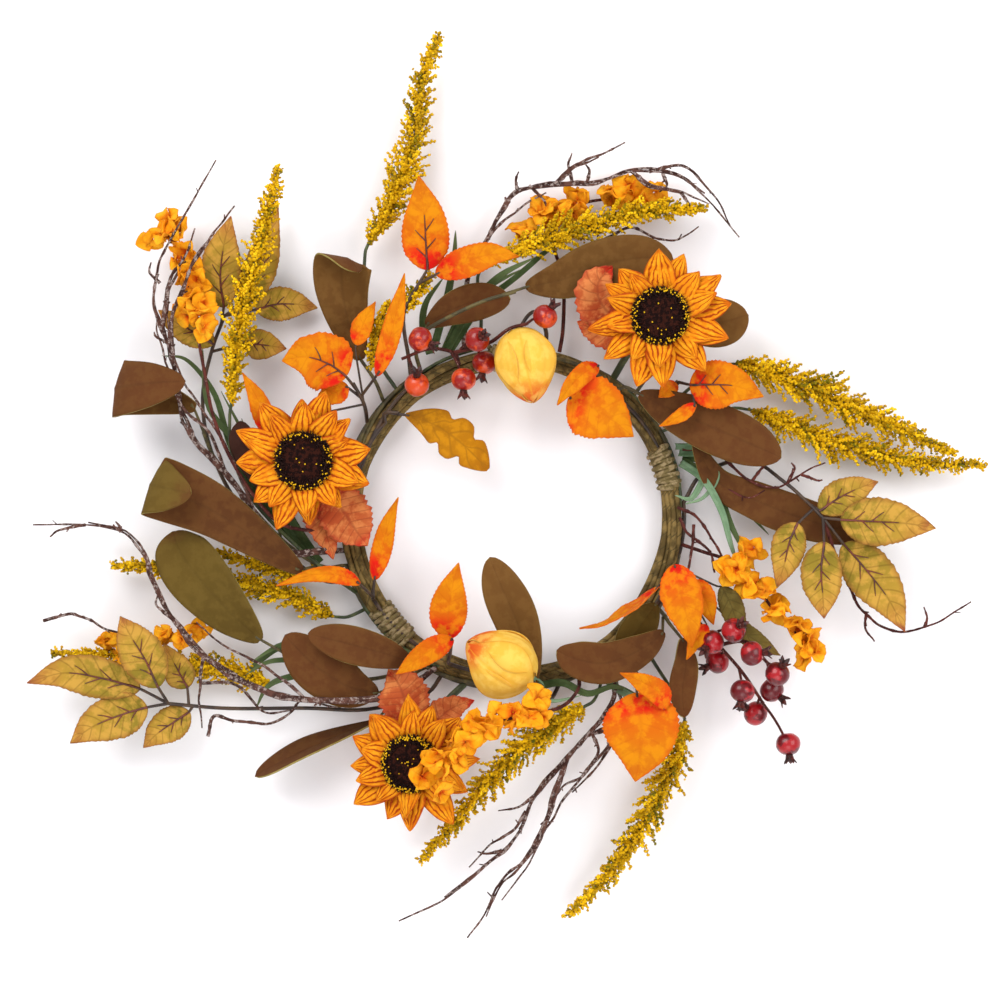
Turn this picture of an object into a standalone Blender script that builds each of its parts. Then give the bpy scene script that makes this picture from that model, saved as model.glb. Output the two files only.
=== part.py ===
"""Harvest door wreath: a ring of twisted stems with picks of leaves, flowers, twigs and berries.

It hangs on a door. X is the width, Z is up and the front faces -Y. The door is the plane y = 0, and the
origin is on that plane, right under the ring's inner top, where a nail or hanger holds the wreath.

A place on the wreath is given in millimetres as (right, up, forward): right and up of the ring's centre,
and forward of the door.
"""

import math

import bmesh
import bpy
from mathutils import Matrix, Quaternion, Vector

MM = 0.001
TOWARDS_VIEWER = Vector((0, -1, 0))

# Ring
RING_RADIUS = 94.0
STRAND_RADIUS = 2.8
STRAND_COUNT = 3
STRAND_TURNS = 3
STRAND_GAP = 0.5
HOOP_RADIUS = 0.35
BAND_WALL = 1.1
BAND_HALF_SPAN = 8.0
BAND_PLACES = {"top": 90, "right": 18, "lower_left": 222}
RING_STEPS = 40

# Stems and leaves
TOUCH_GAP = 0.3
STEM_RADIUS = 1.3
RIB_RADIUS = 1.0
LEAF_THICKNESS = 0.7
LEAF_CUP = 0.12
TWIG_RADIUS = 1.2

# Sunflower heads, which turn on a peg at the end of their stem
OUTER_PETALS = 12
INNER_PETALS = 10
OUTER_PETAL_REACH = 43.0
INNER_PETAL_REACH = 36.0
PETAL_ROOT_RADIUS = 16.0
PETAL_THICKNESS = 0.9
PETAL_LIFT = 6.0
DISC_RADIUS = 17.5
DISC_HEIGHT = 8.0
BOSS_RADIUS = 4.2
PEG_RADIUS = 1.5
PEG_LENGTH = 7.0
CALYX_RADIUS = 7.0
CALYX_LENGTH = 5.0

# Fruit and blossoms
BERRY_RADIUS = 7.0
BLOSSOM_RADIUS = 8.0

# Worked out from the sizes above
STRAND_OFFSET = (STRAND_RADIUS + STRAND_GAP / 2) / math.sin(math.pi / STRAND_COUNT)
BUNDLE_RADIUS = STRAND_OFFSET + STRAND_RADIUS
BAND_INNER = BUNDLE_RADIUS + TOUCH_GAP
BAND_OUTER = BAND_INNER + BAND_WALL
RING_DEPTH = BAND_OUTER
HANG_DROP = RING_RADIUS - BAND_OUTER

# The ring that the picks below are laid out on. Another ring carries them out and forward with it.
LAYOUT_RADIUS = 94.0
LAYOUT_BAND = 7.8

SUNFLOWERS = {
    "right": {"centre": (85, 116, 45), "turn": 0, "root": 54, "stem": [(68, 96, 15), (80, 110, 25)],
              "leaf": [(76, 108, 20), (62, 114, 26), (52, 124, 30), (50, 136, 32), (58, 146, 30)]},
    "left": {"centre": (-120, 33, 45), "turn": 0, "root": 163, "stem": [(-106, 30, 14), (-116, 33, 24)],
             "leaf": [(-116, 33, 23), (-106, 16, 28), (-98, 4, 31), (-90, -8, 30), (-84, -16, 28)]},
    "bottom": {"centre": (-57, -141, 45), "turn": -12, "root": 254,
               "stem": [(-42, -112, 12), (-52, -134, 22)],
               "leaf": [(-52, -134, 21), (-58, -118, 28), (-62, -106, 31), (-66, -96, 30), (-72, -88, 27)]},
}

# Each leaf: where its stalk starts, its midrib, its half width, and its roll in degrees at base and tip
MAGNOLIA_SPRAYS = {
    "magnolia_spray_left": {
        "root": 196, "stem": [(-112, -28, 17), (-135, -12, 20), (-158, 14, 19), (-174, 36, 19),
                              (-180, 50, 20)],
        "leaves": [
            ((-177, 43, 19), [(-184, 64, 24), (-206, 70, 21), (-224, 74, 21), (-230, 75, 28),
                              (-224, 76, 35),
                              (-207, 78, 38), (-189, 79, 36)], 17, (0, 0)),
            ((-112, -28, 17), [(-122, -31, 33), (-148, -12, 38), (-174, 5, 40), (-197, 15, 41),
                               (-208, 19, 49),
                               (-198, 17, 56), (-184, 14, 55)], 18, (0, 0)),
            ((-135, -12, 20), [(-136, 8, 27), (-144, 24, 31), (-155, 42, 32), (-158, 56, 30)], 9, (0, 0)),
        ]},
    "magnolia_leaf_left": {
        "root": 234, "stem": [(-70, -92, 10), (-100, -94, 14), (-130, -80, 24)],
        "leaves": [
            ((-130, -80, 24), [(-146, -71, 29), (-163, -55, 33), (-180, -36, 35), (-192, -20, 33),
                               (-197, -8, 28)], 18, (-14, 0)),
        ]},
    "magnolia_spray_lower_left": {
        "root": 240, "stem": [(-58, -92, 16), (-66, -104, 20)],
        "leaves": [
            ((-62, -98, 18), [(-78, -102, 25), (-95, -98, 28), (-115, -85, 30), (-132, -68, 28)], 15,
             (0, 0)),
            ((-58, -92, 16), [(-58, -84, 30), (-75, -78, 38), (-97, -72, 40), (-118, -67, 36)], 11, (0, 0)),
            ((-66, -104, 20), [(-79, -119, 14), (-105, -129, 14), (-128, -139, 16), (-150, -151, 16)], 12,
             (72, 60)),
        ]},
    "magnolia_leaf_upper_left": {
        "root": 138, "stem": [(-80, 80, 18), (-88, 92, 22)],
        "leaves": [
            ((-84, 86, 20), [(-88, 92, 22), (-95, 113, 22), (-99, 134, 22), (-98, 149, 26), (-94, 149, 35),
                             (-89, 142, 38)], 17, (0, 0)),
        ]},
    "magnolia_spray_top": {
        "root": 122, "stem": [(-56, 98, 18), (-50, 109, 27), (-20, 124, 37), (2, 131, 33)],
        "leaves": [
            ((-54, 102, 21), [(-50, 112, 24), (-35, 121, 27), (-18, 126, 28), (-1, 127, 27)], 11, (0, 0)),
            ((-6, 129, 35), [(8, 134, 29), (28, 138, 27), (50, 146, 28), (74, 151, 26), (94, 150, 22)], 15,
             (0, 0)),
        ]},
    "magnolia_leaf_upper_right": {
        "root": 45, "stem": [(80, 84, 14), (92, 102, 20)],
        "leaves": [
            ((84, 90, 15), [(97, 107, 26), (110, 111, 29), (124, 114, 30), (137, 118, 28)], 14, (0, 0)),
        ]},
    "magnolia_spray_right": {
        "root": 50, "carry": 28, "side": 70, "stem": [(66, 76, 24), (78, 70, 26)],
        "leaves": [
            ((66, 76, 24), [(74, 72, 27), (92, 63, 29), (115, 53, 32), (138, 43, 33), (156, 35, 30)], 15,
             (0, 0)),
            ((96, 61, 29), [(106, 44, 24), (120, 21, 20), (142, 10, 23), (165, 1, 24), (188, -6, 24),
                            (208, -11, 20)], 12, (0, 0)),
        ]},
    "magnolia_leaf_bottom": {
        "root": 279, "stem": [(16, -106, 16), (15, -105, 26)],
        "leaves": [
            ((15, -105, 26), [(12, -97, 29), (8, -78, 34), (2, -58, 37), (-6, -40, 37), (-13, -23, 34)],
             13, (0, 0)),
        ]},
    "magnolia_spray_lower_right": {
        "root": 328, "stem": [(88, -56, 18), (92, -62, 22)],
        "leaves": [
            ((88, -58, 19), [(88, -66, 30), (75, -76, 33), (55, -84, 33), (38, -82, 33), (26, -77, 31)],
             12, (0, 0)),
            ((92, -62, 22), [(99, -70, 24), (101, -84, 26), (99, -100, 27), (100, -116, 26)], 8, (0, 0)),
            ((90, -58, 20), [(84, -50, 27), (78, -58, 25), (70, -70, 24), (62, -82, 24)], 10, (0, 0)),
        ]},
}

ORANGE_PICKS = {
    "orange_pick_top": {
        "root": 127, "side": 60, "stem": [(-60, 92, 24), (-63, 118, 27), (-54, 136, 30)],
        "leaves": [
            ((-54, 136, 30), [(-49, 144, 31), (-50, 160, 34), (-51, 178, 36), (-54, 198, 34)], 14, (0, 0)),
            ((-54, 136, 30), [(-44, 141, 35), (-28, 147, 42), (-12, 152, 43), (4, 151, 40)], 9, (0, 0)),
        ]},
    "orange_pick_left": {
        "root": 147, "stem": [(-86, 66, 26), (-92, 78, 34)],
        "leaves": [
            ((-90, 74, 31), [(-96, 82, 36), (-106, 89, 39), (-119, 93, 40), (-133, 91, 37)], 17, (0, 0)),
            ((-88, 70, 28), [(-95, 76, 32), (-104, 72, 33), (-115, 66, 33)], 7, (0, 0)),
            ((-88, 70, 28), [(-78, 82, 40), (-71, 102, 45), (-66, 121, 47), (-62, 141, 44)], 6, (0, 0)),
        ]},
    "orange_pick_inner_right": {
        "root": 62, "side": 100, "stem": [(42, 82, 26), (36, 78, 34)],
        "leaves": [
            ((38, 79, 32), [(33, 70, 38), (44, 65, 41), (57, 57, 42), (70, 47, 40)], 18, (0, 0)),
            ((42, 82, 26), [(50, 88, 36), (42, 84, 44), (33, 75, 47), (26, 65, 46)], 6, (0, 0)),
        ]},
    "orange_leaf_right": {
        "root": 39, "stem": [(88, 68, 14), (97, 79, 22)],
        "leaves": [
            ((97, 79, 22), [(103, 77, 34), (115, 77, 40), (129, 76, 43), (145, 70, 42)], 14, (0, 0)),
            ((103.5, 77.5, 31.5), [(106, 66, 38), (97, 59, 40), (85, 53, 38)], 4, (0, 0)),
        ]},
    "orange_pick_lower_left": {
        "root": 210, "side": 90, "stem": [(-81, -46, 22), (-81, -42, 24)],
        "leaves": [
            ((-81, -44, 23), [(-80, -36, 26), (-76, -20, 29), (-72, -4, 31), (-66, 12, 30)], 6, (0, 0)),
            ((-81, -46, 22), [(-88, -38, 38), (-100, -33, 44), (-116, -33, 46), (-136, -39, 46)], 5,
             (0, 0)),
        ]},
    "orange_pick_bottom_mid": {
        "root": 247, "side": 100, "stem": [(-37, -84, 22), (-36, -78, 27)],
        "leaves": [
            ((-36, -78, 27), [(-36, -70, 31), (-37, -56, 34), (-35, -42, 36), (-31, -26, 34)], 11, (0, 0)),
            ((-36, -80, 26), [(-34, -70, 40), (-45, -75, 44), (-57, -83, 46), (-67, -90, 44)], 7, (0, 0)),
        ]},
    "orange_pick_lower_right": {
        "root": 341, "side": 60, "stem": [(95, -28, 24), (97, -34, 28)],
        "leaves": [
            ((97, -32, 27), [(94, -27, 36), (97, -42, 40), (101, -58, 41), (104, -75, 38)], 12, (0, 0)),
            ((97, -34, 28), [(106, -36, 28), (112, -48, 29), (117, -62, 27)], 7, (0, 0)),
            ((95, -29, 25), [(85, -40, 32), (72, -50, 36), (56, -60, 38), (39, -64, 37)], 8, (74, 74)),
        ]},
    "orange_pick_bottom": {
        "root": 312, "stem": [(70, -86, 14), (72, -96, 30)],
        "leaves": [
            ((72, -92, 25), [(72, -101, 40), (74, -117, 44), (74, -134, 44), (71, -152, 41)], 22, (0, 0)),
        ]},
}

GREEN_SPRAYS = {
    "green_spray_lower_left": {
        "root": 246, "stem": [(-52, -104, 9), (-85, -112, 14), (-120, -111, 18), (-165, -111, 21),
                              (-200, -108, 24)],
        "leaves": [
            ((-200, -108, 24), [(-216, -99, 28), (-238, -93, 30), (-260, -90, 30), (-282, -96, 26)], 12,
             (0, 0)),
            ((-200, -108, 24), [(-212, -110, 26), (-226, -114, 28), (-243, -121, 28), (-257, -131, 24)],
             13, (0, 0)),
            ((-186, -110, 23), [(-188, -113, 20), (-197, -119, 20), (-207, -126, 20), (-215, -134, 18)],
             10, (0, 0)),
            ((-200, -108, 24), [(-205, -98, 34), (-212, -82, 38), (-220, -69, 38), (-227, -57, 34)], 13,
             (0, 0)),
            ((-188, -110, 23), [(-189, -99, 20), (-195, -88, 21), (-203, -73, 20)], 9, (0, 0)),
        ]},
    "green_spray_upper_left": {
        "root": 201, "stem": [(-112, -36, 9), (-140, -14, 10), (-163, 12, 10), (-177, 42, 10),
                              (-181, 70, 11),
                              (-176, 96, 13), (-168, 118, 14)],
        "leaves": [
            ((-170, 113, 14), [(-168, 123, 17), (-170, 140, 20), (-168, 158, 21), (-164, 176, 18)], 12,
             (0, 0)),
            ((-168, 118, 14), [(-156, 126, 9), (-149, 142, 10), (-143, 160, 10), (-137, 183, 8)], 10,
             (0, 0)),
            ((-168, 118, 14), [(-150, 122, 7), (-138, 125, 8), (-126, 125, 8), (-114, 123, 7)], 10, (0, 0)),
            ((-176, 97, 13), [(-157, 102, 11), (-145, 101, 12), (-132, 99, 11)], 9, (0, 0)),
            ((-177, 92, 13), [(-174, 101, 22), (-185, 108, 24), (-196, 114, 24), (-206, 121, 20)], 9,
             (0, 0)),
        ]},
    "green_spray_right": {
        "root": 5, "carry": 28, "stem": [(112, 26, 8), (138, 34, 12), (158, 21, 26), (170, 10, 34),
                                         (180, 0, 34)],
        "leaves": [
            ((172, 8, 34), [(178, 4, 34), (188, 11, 36), (200, 17, 36), (212, 21, 33)], 10, (0, 0)),
            ((180, 0, 34), [(190, -1, 37), (207, -2, 40), (226, -3, 40), (245, -6, 36)], 14, (0, 0)),
            ((174, 5, 34), [(165, -3, 38), (160, -14, 41), (157, -27, 41), (153, -40, 38)], 10, (0, 0)),
            ((180, 0, 34), [(180, -14, 42), (178, -30, 45), (179, -45, 45), (180, -58, 41)], 12, (0, 0)),
            ((180, 0, 34), [(192, -15, 32), (205, -30, 33), (218, -47, 33), (228, -66, 29)], 14, (0, 0)),
        ]},
}

# Each goldenrod: its stem, and its plume as (place, half width) pairs from base to tip
GOLDENRODS = {
    "goldenrod_top_left": {
        "root": 132, "stem": [(-78, 92, 10), (-86, 122, 12), (-86, 152, 14)],
        "plume": [((-84, 160, 14), 4), ((-72, 180, 15), 10), ((-62, 205, 15), 9), ((-55, 232, 15), 7),
                  ((-52, 258, 14), 5), ((-43, 281, 12), 2)]},
    "goldenrod_left": {
        "root": 206, "stem": [(-104, -34, 22), (-128, -14, 24), (-152, 12, 25), (-163, 38, 25),
                              (-164, 58, 27)],
        "plume": [((-163, 66, 28), 4), ((-161, 92, 29), 9), ((-156, 122, 30), 9), ((-149, 150, 30), 7),
                  ((-142, 176, 29), 5), ((-136, 203, 27), 2)]},
    "goldenrod_top": {
        "root": 101, "stem": [(-18, 116, 12), (-20, 140, 18)],
        "plume": [((-14, 148, 20), 5), ((12, 159, 22), 10), ((38, 168, 22), 9), ((66, 176, 21), 7),
                  ((88, 180, 20), 5), ((112, 180, 18), 2)]},
    "goldenrod_right_upper": {
        "root": 34, "stem": [(102, 74, 10), (120, 88, 12)],
        "plume": [((130, 90, 14), 6), ((152, 84, 17), 11), ((178, 74, 19), 11), ((206, 61, 19), 8),
                  ((232, 49, 18), 5), ((258, 38, 16), 2)]},
    "goldenrod_right_lower": {
        "root": 30, "stem": [(108, 58, 9), (128, 64, 10)],
        "plume": [((140, 63, 11), 5), ((162, 54, 14), 9), ((188, 44, 16), 9), ((214, 37, 16), 7),
                  ((242, 32, 15), 5), ((275, 31, 13), 2)]},
    "goldenrod_bottom": {
        "root": 300, "stem": [(52, -96, 12), (48, -106, 20)],
        "plume": [((42, -110, 22), 5), ((26, -120, 24), 9), ((6, -134, 25), 9), ((-12, -152, 25), 7),
                  ((-32, -176, 24), 5), ((-53, -199, 22), 2)]},
    "goldenrod_bottom_right": {
        "root": 317, "stem": [(84, -86, 9), (98, -108, 12)],
        "plume": [((101, -118, 14), 5), ((94, -144, 17), 9), ((80, -172, 18), 9), ((65, -197, 17), 6),
                  ((49, -216, 16), 4), ((33, -232, 14), 2)]},
    "goldenrod_lower_left": {
        "root": 212, "side": -30, "stem": [(-96, -58, 7)],
        "plume": [((-104, -58, 8), 5), ((-130, -46, 11), 8), ((-160, -38, 12), 7), ((-186, -32, 12), 6),
                  ((-210, -29, 12), 4), ((-233, -28, 11), 2)]},
}

# Each twig: its main branch from the ring, then side branches that start on it
TWIGS = {
    "twig_upper_left": {
        "root": 191, "branches": [
            [(-112, -20, 30), (-130, -20, 33), (-148, 0, 33), (-165, 24, 31), (-182, 42, 30),
             (-191, 58, 28),
             (-196, 84, 28), (-202, 106, 30), (-208, 124, 33), (-205, 146, 34), (-196, 164, 33),
             (-184, 186, 30),
             (-172, 208, 26)],
            [(-196, 86, 28), (-197, 112, 36), (-190, 133, 38), (-182, 152, 37), (-171, 167, 34),
             (-161, 181, 30)],
            [(-203, 108, 30), (-199, 136, 31), (-190, 150, 32), (-184, 168, 30)],
        ]},
    "twig_left": {
        "root": 243, "side": 50, "branches": [
            [(-70, -104, 30), (-118, -106, 36), (-150, -98, 40), (-178, -80, 44), (-196, -58, 46),
             (-207, -38, 44),
             (-212, -22, 42), (-224, -9, 38), (-246, -4, 34), (-278, -4, 28)],
            [(-226, -8, 38), (-229, -2, 40)],
        ]},
    "twig_top": {
        "root": 106, "branches": [
            [(-28, 112, 8), (-26, 140, 8), (-16, 160, 10), (-8, 176, 14), (4, 190, 16), (28, 194, 17),
             (50, 195, 18),
             (70, 202, 18), (94, 200, 18), (112, 188, 16), (133, 164, 12)],
            [(24, 194, 17), (38, 206, 20), (52, 212, 20), (66, 219, 18)],
            [(70, 202, 18), (80, 194, 21), (98, 190, 22), (115, 183, 18)],
        ]},
    "twig_bottom": {
        "root": 306, "branches": [
            [(60, -94, 16), (58, -108, 26), (46, -124, 31), (30, -142, 33), (14, -160, 32), (2, -186, 30),
             (-16, -203, 28), (-40, -222, 25), (-66, -235, 20)],
            [(44, -126, 31), (60, -122, 24), (52, -142, 22), (35, -160, 20)],
            [(32, -140, 33), (25, -156, 38), (18, -178, 39), (6, -198, 37), (-8, -212, 34), (-16, -230, 30),
             (-26, -244, 26)],
        ]},
}

# Each cluster of berries: its branches, and each berry's stalk start, centre and calyx direction
BERRY_CLUSTERS = {
    "berries_top": {
        "root": 109, "side": 80, "branches": [[(-34, 96, 26), (-48, 98, 32), (-64, 92, 34)],
                                              [(-34, 96, 26), (-14, 101, 34), (-2, 109, 42), (9, 112, 46)]],
        "berries": [
            ((-48, 98, 32), (-53, 103, 46), (1, -0.5, 0.2)), ((-60, 93, 34), (-55, 77, 40), (0, 0.6, 0.5)),
            ((-36, 97, 28), (-28, 80, 42), (0, -1, 0.1)), ((-30, 98, 28), (-20, 103, 44), (0.4, 0.2, 1)),
            ((-22, 99, 31), (-16, 90, 30), (-0.2, -1, 0.1)),
            ((7, 111, 45), (19, 116, 46), (0.7, 1, 0.3)),
        ]},
    "berries_lower_right": {
        "root": 335, "branches": [[(98, -48, 14), (110, -62, 18), (122, -76, 22), (134, -90, 26),
                                   (146, -108, 28)],
                                  [(120, -74, 22), (136, -72, 30), (148, -84, 30)]],
        "berries": [
            ((116, -68, 20), (128, -65, 38), (0.4, 0.4, 0.7)),
            ((112, -64, 19), (116, -72, 30), (-0.4, -0.4, 0.5)),
            ((124, -78, 22), (120, -84, 14), (-0.6, -0.3, 0.2)),
            ((136, -72, 30), (138, -78, 46), (1, 0.1, 0.2)),
            ((132, -88, 25), (133, -100, 40), (-0.2, -1, 0.2)),
            ((144, -104, 27), (142, -114, 20), (-0.7, 0.4, 0.3)),
            ((148, -84, 30), (153, -90, 42), (0.3, 0.6, 0.5)),
            ((148, -84, 30), (151, -100, 26), (0.7, -0.6, 0.2)),
            ((146, -108, 28), (160, -131, 32), (0.1, -1, 0.1)),
        ]},
}

# Each lantern: its stalk, its centre, its half width, its half length and the way its tip points
LANTERNS = {
    "lantern_fruit_top": {"root": 79, "stem": [(20, 108, 14), (16, 119, 22), (10, 118, 32)],
                          "centre": (8, 88, 40), "half_width": 18, "half_length": 22,
                          "tip": (0.2, -1, 0.1)},
    "lantern_fruit_bottom": {"root": 286, "stem": [(24, -104, 18), (20, -104, 40)],
                             "centre": (-7, -82, 58), "half_width": 19, "half_length": 22,
                             "tip": (-0.85, 0.5, 0.1)},
}

# Each spray of small blossoms: its stalk, then the blossoms' centres
BLOSSOM_SPRAYS = {
    "blossom_spray_upper_left": {
        "root": 186, "stem": [(-112, -8, 26), (-136, -2, 36), (-158, 26, 37), (-172, 56, 36),
                              (-178, 84, 34),
                              (-182, 106, 34), (-184, 120, 30), (-188, 136, 26), (-194, 152, 23),
                              (-198, 164, 22)],
        "blossoms": [(-183, 121, 30), (-187, 136, 26), (-194, 152, 22), (-197, 167, 20)]},
    "blossom_spray_top": {
        "root": 74, "stem": [(30, 112, 7), (30, 140, 5), (24, 160, 4), (22, 174, 6), (40, 184, 7),
                             (66, 188, 7)],
        "blossoms": [(24, 177, 6), (40, 185, 7), (66, 190, 7)]},
    "blossom_spray_right": {
        "root": 351, "stem": [(112, -20, 14), (128, -26, 22), (142, -40, 26), (154, -56, 27),
                              (172, -74, 26)],
        "blossoms": [(130, -27, 22), (141, -40, 26), (152, -55, 27), (172, -74, 26)]},
    "blossom_spray_bottom": {
        "root": 293, "stem": [(38, -100, 30), (28, -108, 60), (8, -112, 76), (-10, -116, 78),
                              (-28, -127, 78),
                              (-42, -142, 78)],
        "blossoms": [(7, -111, 76), (-12, -117, 78), (-29, -127, 78), (-42, -142, 78)]},
}

OAK_LEAVES = {
    "oak_leaf": {
        "root": 143, "side": 100, "stem": [(-74, 61, 22), (-66, 61, 25)],
        "leaves": [((-70, 61, 23), [(-62, 60, 26), (-45, 54, 28), (-29, 43, 29), (-14, 28, 27)], 13,
                    (0, 0))]},
}

COLOURS = {
    "wire": (0.30, 0.29, 0.26, 1.0, 0.4), "vine": (0.23, 0.17, 0.08, 0.0, 0.8),
    "tape": (0.16, 0.13, 0.07, 0.0, 0.7), "petal": (0.85, 0.36, 0.02, 0.0, 0.7),
    "seed": (0.05, 0.02, 0.01, 0.0, 0.9), "stem": (0.09, 0.11, 0.05, 0.0, 0.6),
    "magnolia": (0.15, 0.07, 0.03, 0.0, 0.6), "orange": (0.85, 0.30, 0.01, 0.0, 0.6),
    "green": (0.35, 0.25, 0.06, 0.0, 0.6), "goldenrod": (0.75, 0.50, 0.01, 0.0, 0.8),
    "twig": (0.10, 0.05, 0.04, 0.0, 0.8), "berry": (0.60, 0.05, 0.02, 0.0, 0.25),
    "lantern": (0.85, 0.55, 0.12, 0.0, 0.6), "blossom": (0.90, 0.40, 0.02, 0.0, 0.7),
    "oak": (0.50, 0.28, 0.01, 0.0, 0.6),
}


def place(spot, pick):
    """A place on a pick in scene millimetres. The ring carries each pick whole, by its root or by the angle
    that it shares with a pick it weaves through."""
    right, up, forward = spot
    carried = on_ring(pick.get("carry", pick["root"]))[1] * (RING_RADIUS - LAYOUT_RADIUS)
    depth = forward + 2 * (BAND_OUTER - LAYOUT_BAND)
    return Vector((right, -depth, up - HANG_DROP)) + carried


def on_ring(degrees):
    """The ring's centreline at an angle, and the way out from the ring's centre there."""
    turn = math.radians(degrees)
    out = Vector((math.cos(turn), 0, math.sin(turn)))
    return Vector((0, -RING_DEPTH, -HANG_DROP)) + out * RING_RADIUS, out


def root_of(pick, radius):
    """Where a stem of this radius starts: just clear of the ring, outside it or turned to the front."""
    centre, out = on_ring(pick["root"])
    turn = math.radians(pick.get("side", 0))
    away = out * math.cos(turn) + TOWARDS_VIEWER * math.sin(turn)
    return centre + away * (BUNDLE_RADIUS + 2 * TOUCH_GAP + radius)


def smooth(points, steps):
    """Points on a smooth line through the given ones, with so many steps from each to the next."""
    padded = [2 * points[0] - points[1], *points, 2 * points[-1] - points[-2]]
    line = []
    for before, start, end, after in zip(padded, padded[1:], padded[2:], padded[3:]):
        for step in range(steps):
            t = step / steps
            line.append(0.5 * (2 * start + (end - before) * t
                               + (2 * before - 5 * start + 4 * end - after) * t * t
                               + (3 * start - before - 3 * end + after) * t ** 3))
    return [*line, points[-1]]


def frames(line, side):
    """(tangent, side) at each point of a line, the side carried along without twisting."""
    found = []
    for i in range(len(line)):
        tangent = (line[min(i + 1, len(line) - 1)] - line[max(i - 1, 0)]).normalized()
        side = (side - tangent * side.dot(tangent)).normalized()
        found.append((tangent, side))
    return found


def skin(rings, closed=False):
    """A closed shape through rings of points. Both halves of each ring split their faces alike."""
    shape = bmesh.new()
    rows = [[shape.verts.new(point * MM) for point in ring] for ring in rings]
    count = len(rows[0])
    for i in range(len(rows) if closed else len(rows) - 1):
        near, far = rows[i], rows[(i + 1) % len(rows)]
        for j in range(count):
            k = (j + 1) % count
            if 2 * j < count:
                shape.faces.new((near[j], near[k], far[k]))
                shape.faces.new((near[j], far[k], far[j]))
            else:
                shape.faces.new((near[j], near[k], far[j]))
                shape.faces.new((near[k], far[k], far[j]))
    if not closed:
        shape.faces.new(rows[0])
        shape.faces.new(rows[-1])
    bmesh.ops.triangulate(shape, faces=[face for face in shape.faces if len(face.verts) > 3])
    bmesh.ops.recalc_face_normals(shape, faces=shape.faces)
    return shape


def circle(centre, first, second, radius, sides):
    turns = [2 * math.pi * (i + 0.5) / sides for i in range(sides)]
    return [centre + first * (radius * math.cos(turn)) + second * (radius * math.sin(turn)) for turn in turns]


def tube(line, radii, sides=5):
    """A round rod along a line, with a radius at each point."""
    start = TOWARDS_VIEWER if abs((line[1] - line[0]).normalized().y) < 0.9 else Vector((1, 0, 0))
    along = frames(line, start)
    return skin([circle(point, side, tangent.cross(side), radius, sides)
                 for point, (tangent, side), radius in zip(line, along, radii)])


def tapered(line, first, last):
    return [first + (last - first) * i / (len(line) - 1) for i in range(len(line))]


def ball(centre, axis, half_width, half_length, sides, rows):
    """A rounded body about an axis, its two poles cut small and flat."""
    first = axis.orthogonal().normalized()
    second = axis.cross(first)
    rings = []
    for row in range(rows):
        turn = math.pi * (row + 0.35) / (rows - 0.3)
        at = centre - axis * (half_length * math.cos(turn))
        rings.append(circle(at, first, second, half_width * math.sin(turn), sides))
    return skin(rings)


def leaf_shapes(pick, leaf, outline, steps):
    """A thin leaf blade on its midrib, and the rib with its stalk."""
    stalk, midrib, half_width, rolls = leaf
    line = smooth([place(spot, pick) for spot in midrib], steps)
    along = frames(line, (line[1] - line[0]).cross(TOWARDS_VIEWER))
    rings = []
    for i, (point, (tangent, side)) in enumerate(zip(line, along)):
        share = i / (len(line) - 1)
        roll = math.radians(rolls[0] + (rolls[1] - rolls[0]) * share)
        side = Quaternion(tangent, roll) @ side
        front = side.cross(tangent)
        reach = side * half_width * outline(share)
        lift = front * half_width * outline(share) * LEAF_CUP
        skin_gap = front * LEAF_THICKNESS / 2
        upper = [point - reach + lift + skin_gap, point + skin_gap, point + reach + lift + skin_gap]
        lower = [point + reach + lift - skin_gap, point - skin_gap, point - reach + lift - skin_gap]
        rings.append(upper + lower)
    base, further = place(midrib[0], pick), place(midrib[1], pick)
    rib = [place(stalk, pick), base.lerp(further, 0.3), further]
    return [tube(rib, tapered(rib, RIB_RADIUS, RIB_RADIUS * 0.75), 5), skin(rings)]


def oval_outline(share):
    return 0.16 + 0.84 * math.sin(math.pi * min(share * 0.94 + 0.02, 1)) ** 0.7


def pointed_outline(share):
    return 0.10 + 0.90 * math.sin(math.pi * share ** 0.75) ** 0.85


def lobed_outline(share):
    return 0.12 + 0.88 * math.sin(math.pi * share ** 1.3) ** 0.8


def material_of(name):
    found = bpy.data.materials.get(name)
    if found:
        return found
    red, green, blue, metallic, roughness = COLOURS[name]
    made = bpy.data.materials.new(name)
    made.use_nodes = True
    shader = made.node_tree.nodes["Principled BSDF"]
    shader.inputs["Base Color"].default_value = (red, green, blue, 1)
    shader.inputs["Metallic"].default_value = metallic
    shader.inputs["Roughness"].default_value = roughness
    made.diffuse_color = (red, green, blue, 1)
    return made


def object_of(name, shapes):
    """One object that holds all the shapes."""
    whole = bmesh.new()
    for shape in shapes:
        mesh = bpy.data.meshes.new(name)
        shape.to_mesh(mesh)
        shape.free()
        whole.from_mesh(mesh)
        bpy.data.meshes.remove(mesh)
    mesh = bpy.data.meshes.new(name)
    whole.to_mesh(mesh)
    whole.free()
    made = bpy.data.objects.new(name, mesh)
    bpy.context.collection.objects.link(made)
    return made


def node(name, shapes, material):
    """One named piece, its shapes united into a single solid."""
    made = object_of(name, shapes[:1])
    if len(shapes) > 1:
        others = object_of(name + "_others", shapes[1:])
        union = made.modifiers.new("union", "BOOLEAN")
        union.operation = "UNION"
        union.solver = "EXACT"
        union.use_self = True
        union.object = others
        graph = bpy.context.evaluated_depsgraph_get()
        united = bpy.data.meshes.new_from_object(made.evaluated_get(graph))
        made.modifiers.clear()
        made.data = united
        bpy.data.objects.remove(others, do_unlink=True)
    made.data.materials.clear()
    made.data.materials.append(material_of(material))
    return made


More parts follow.
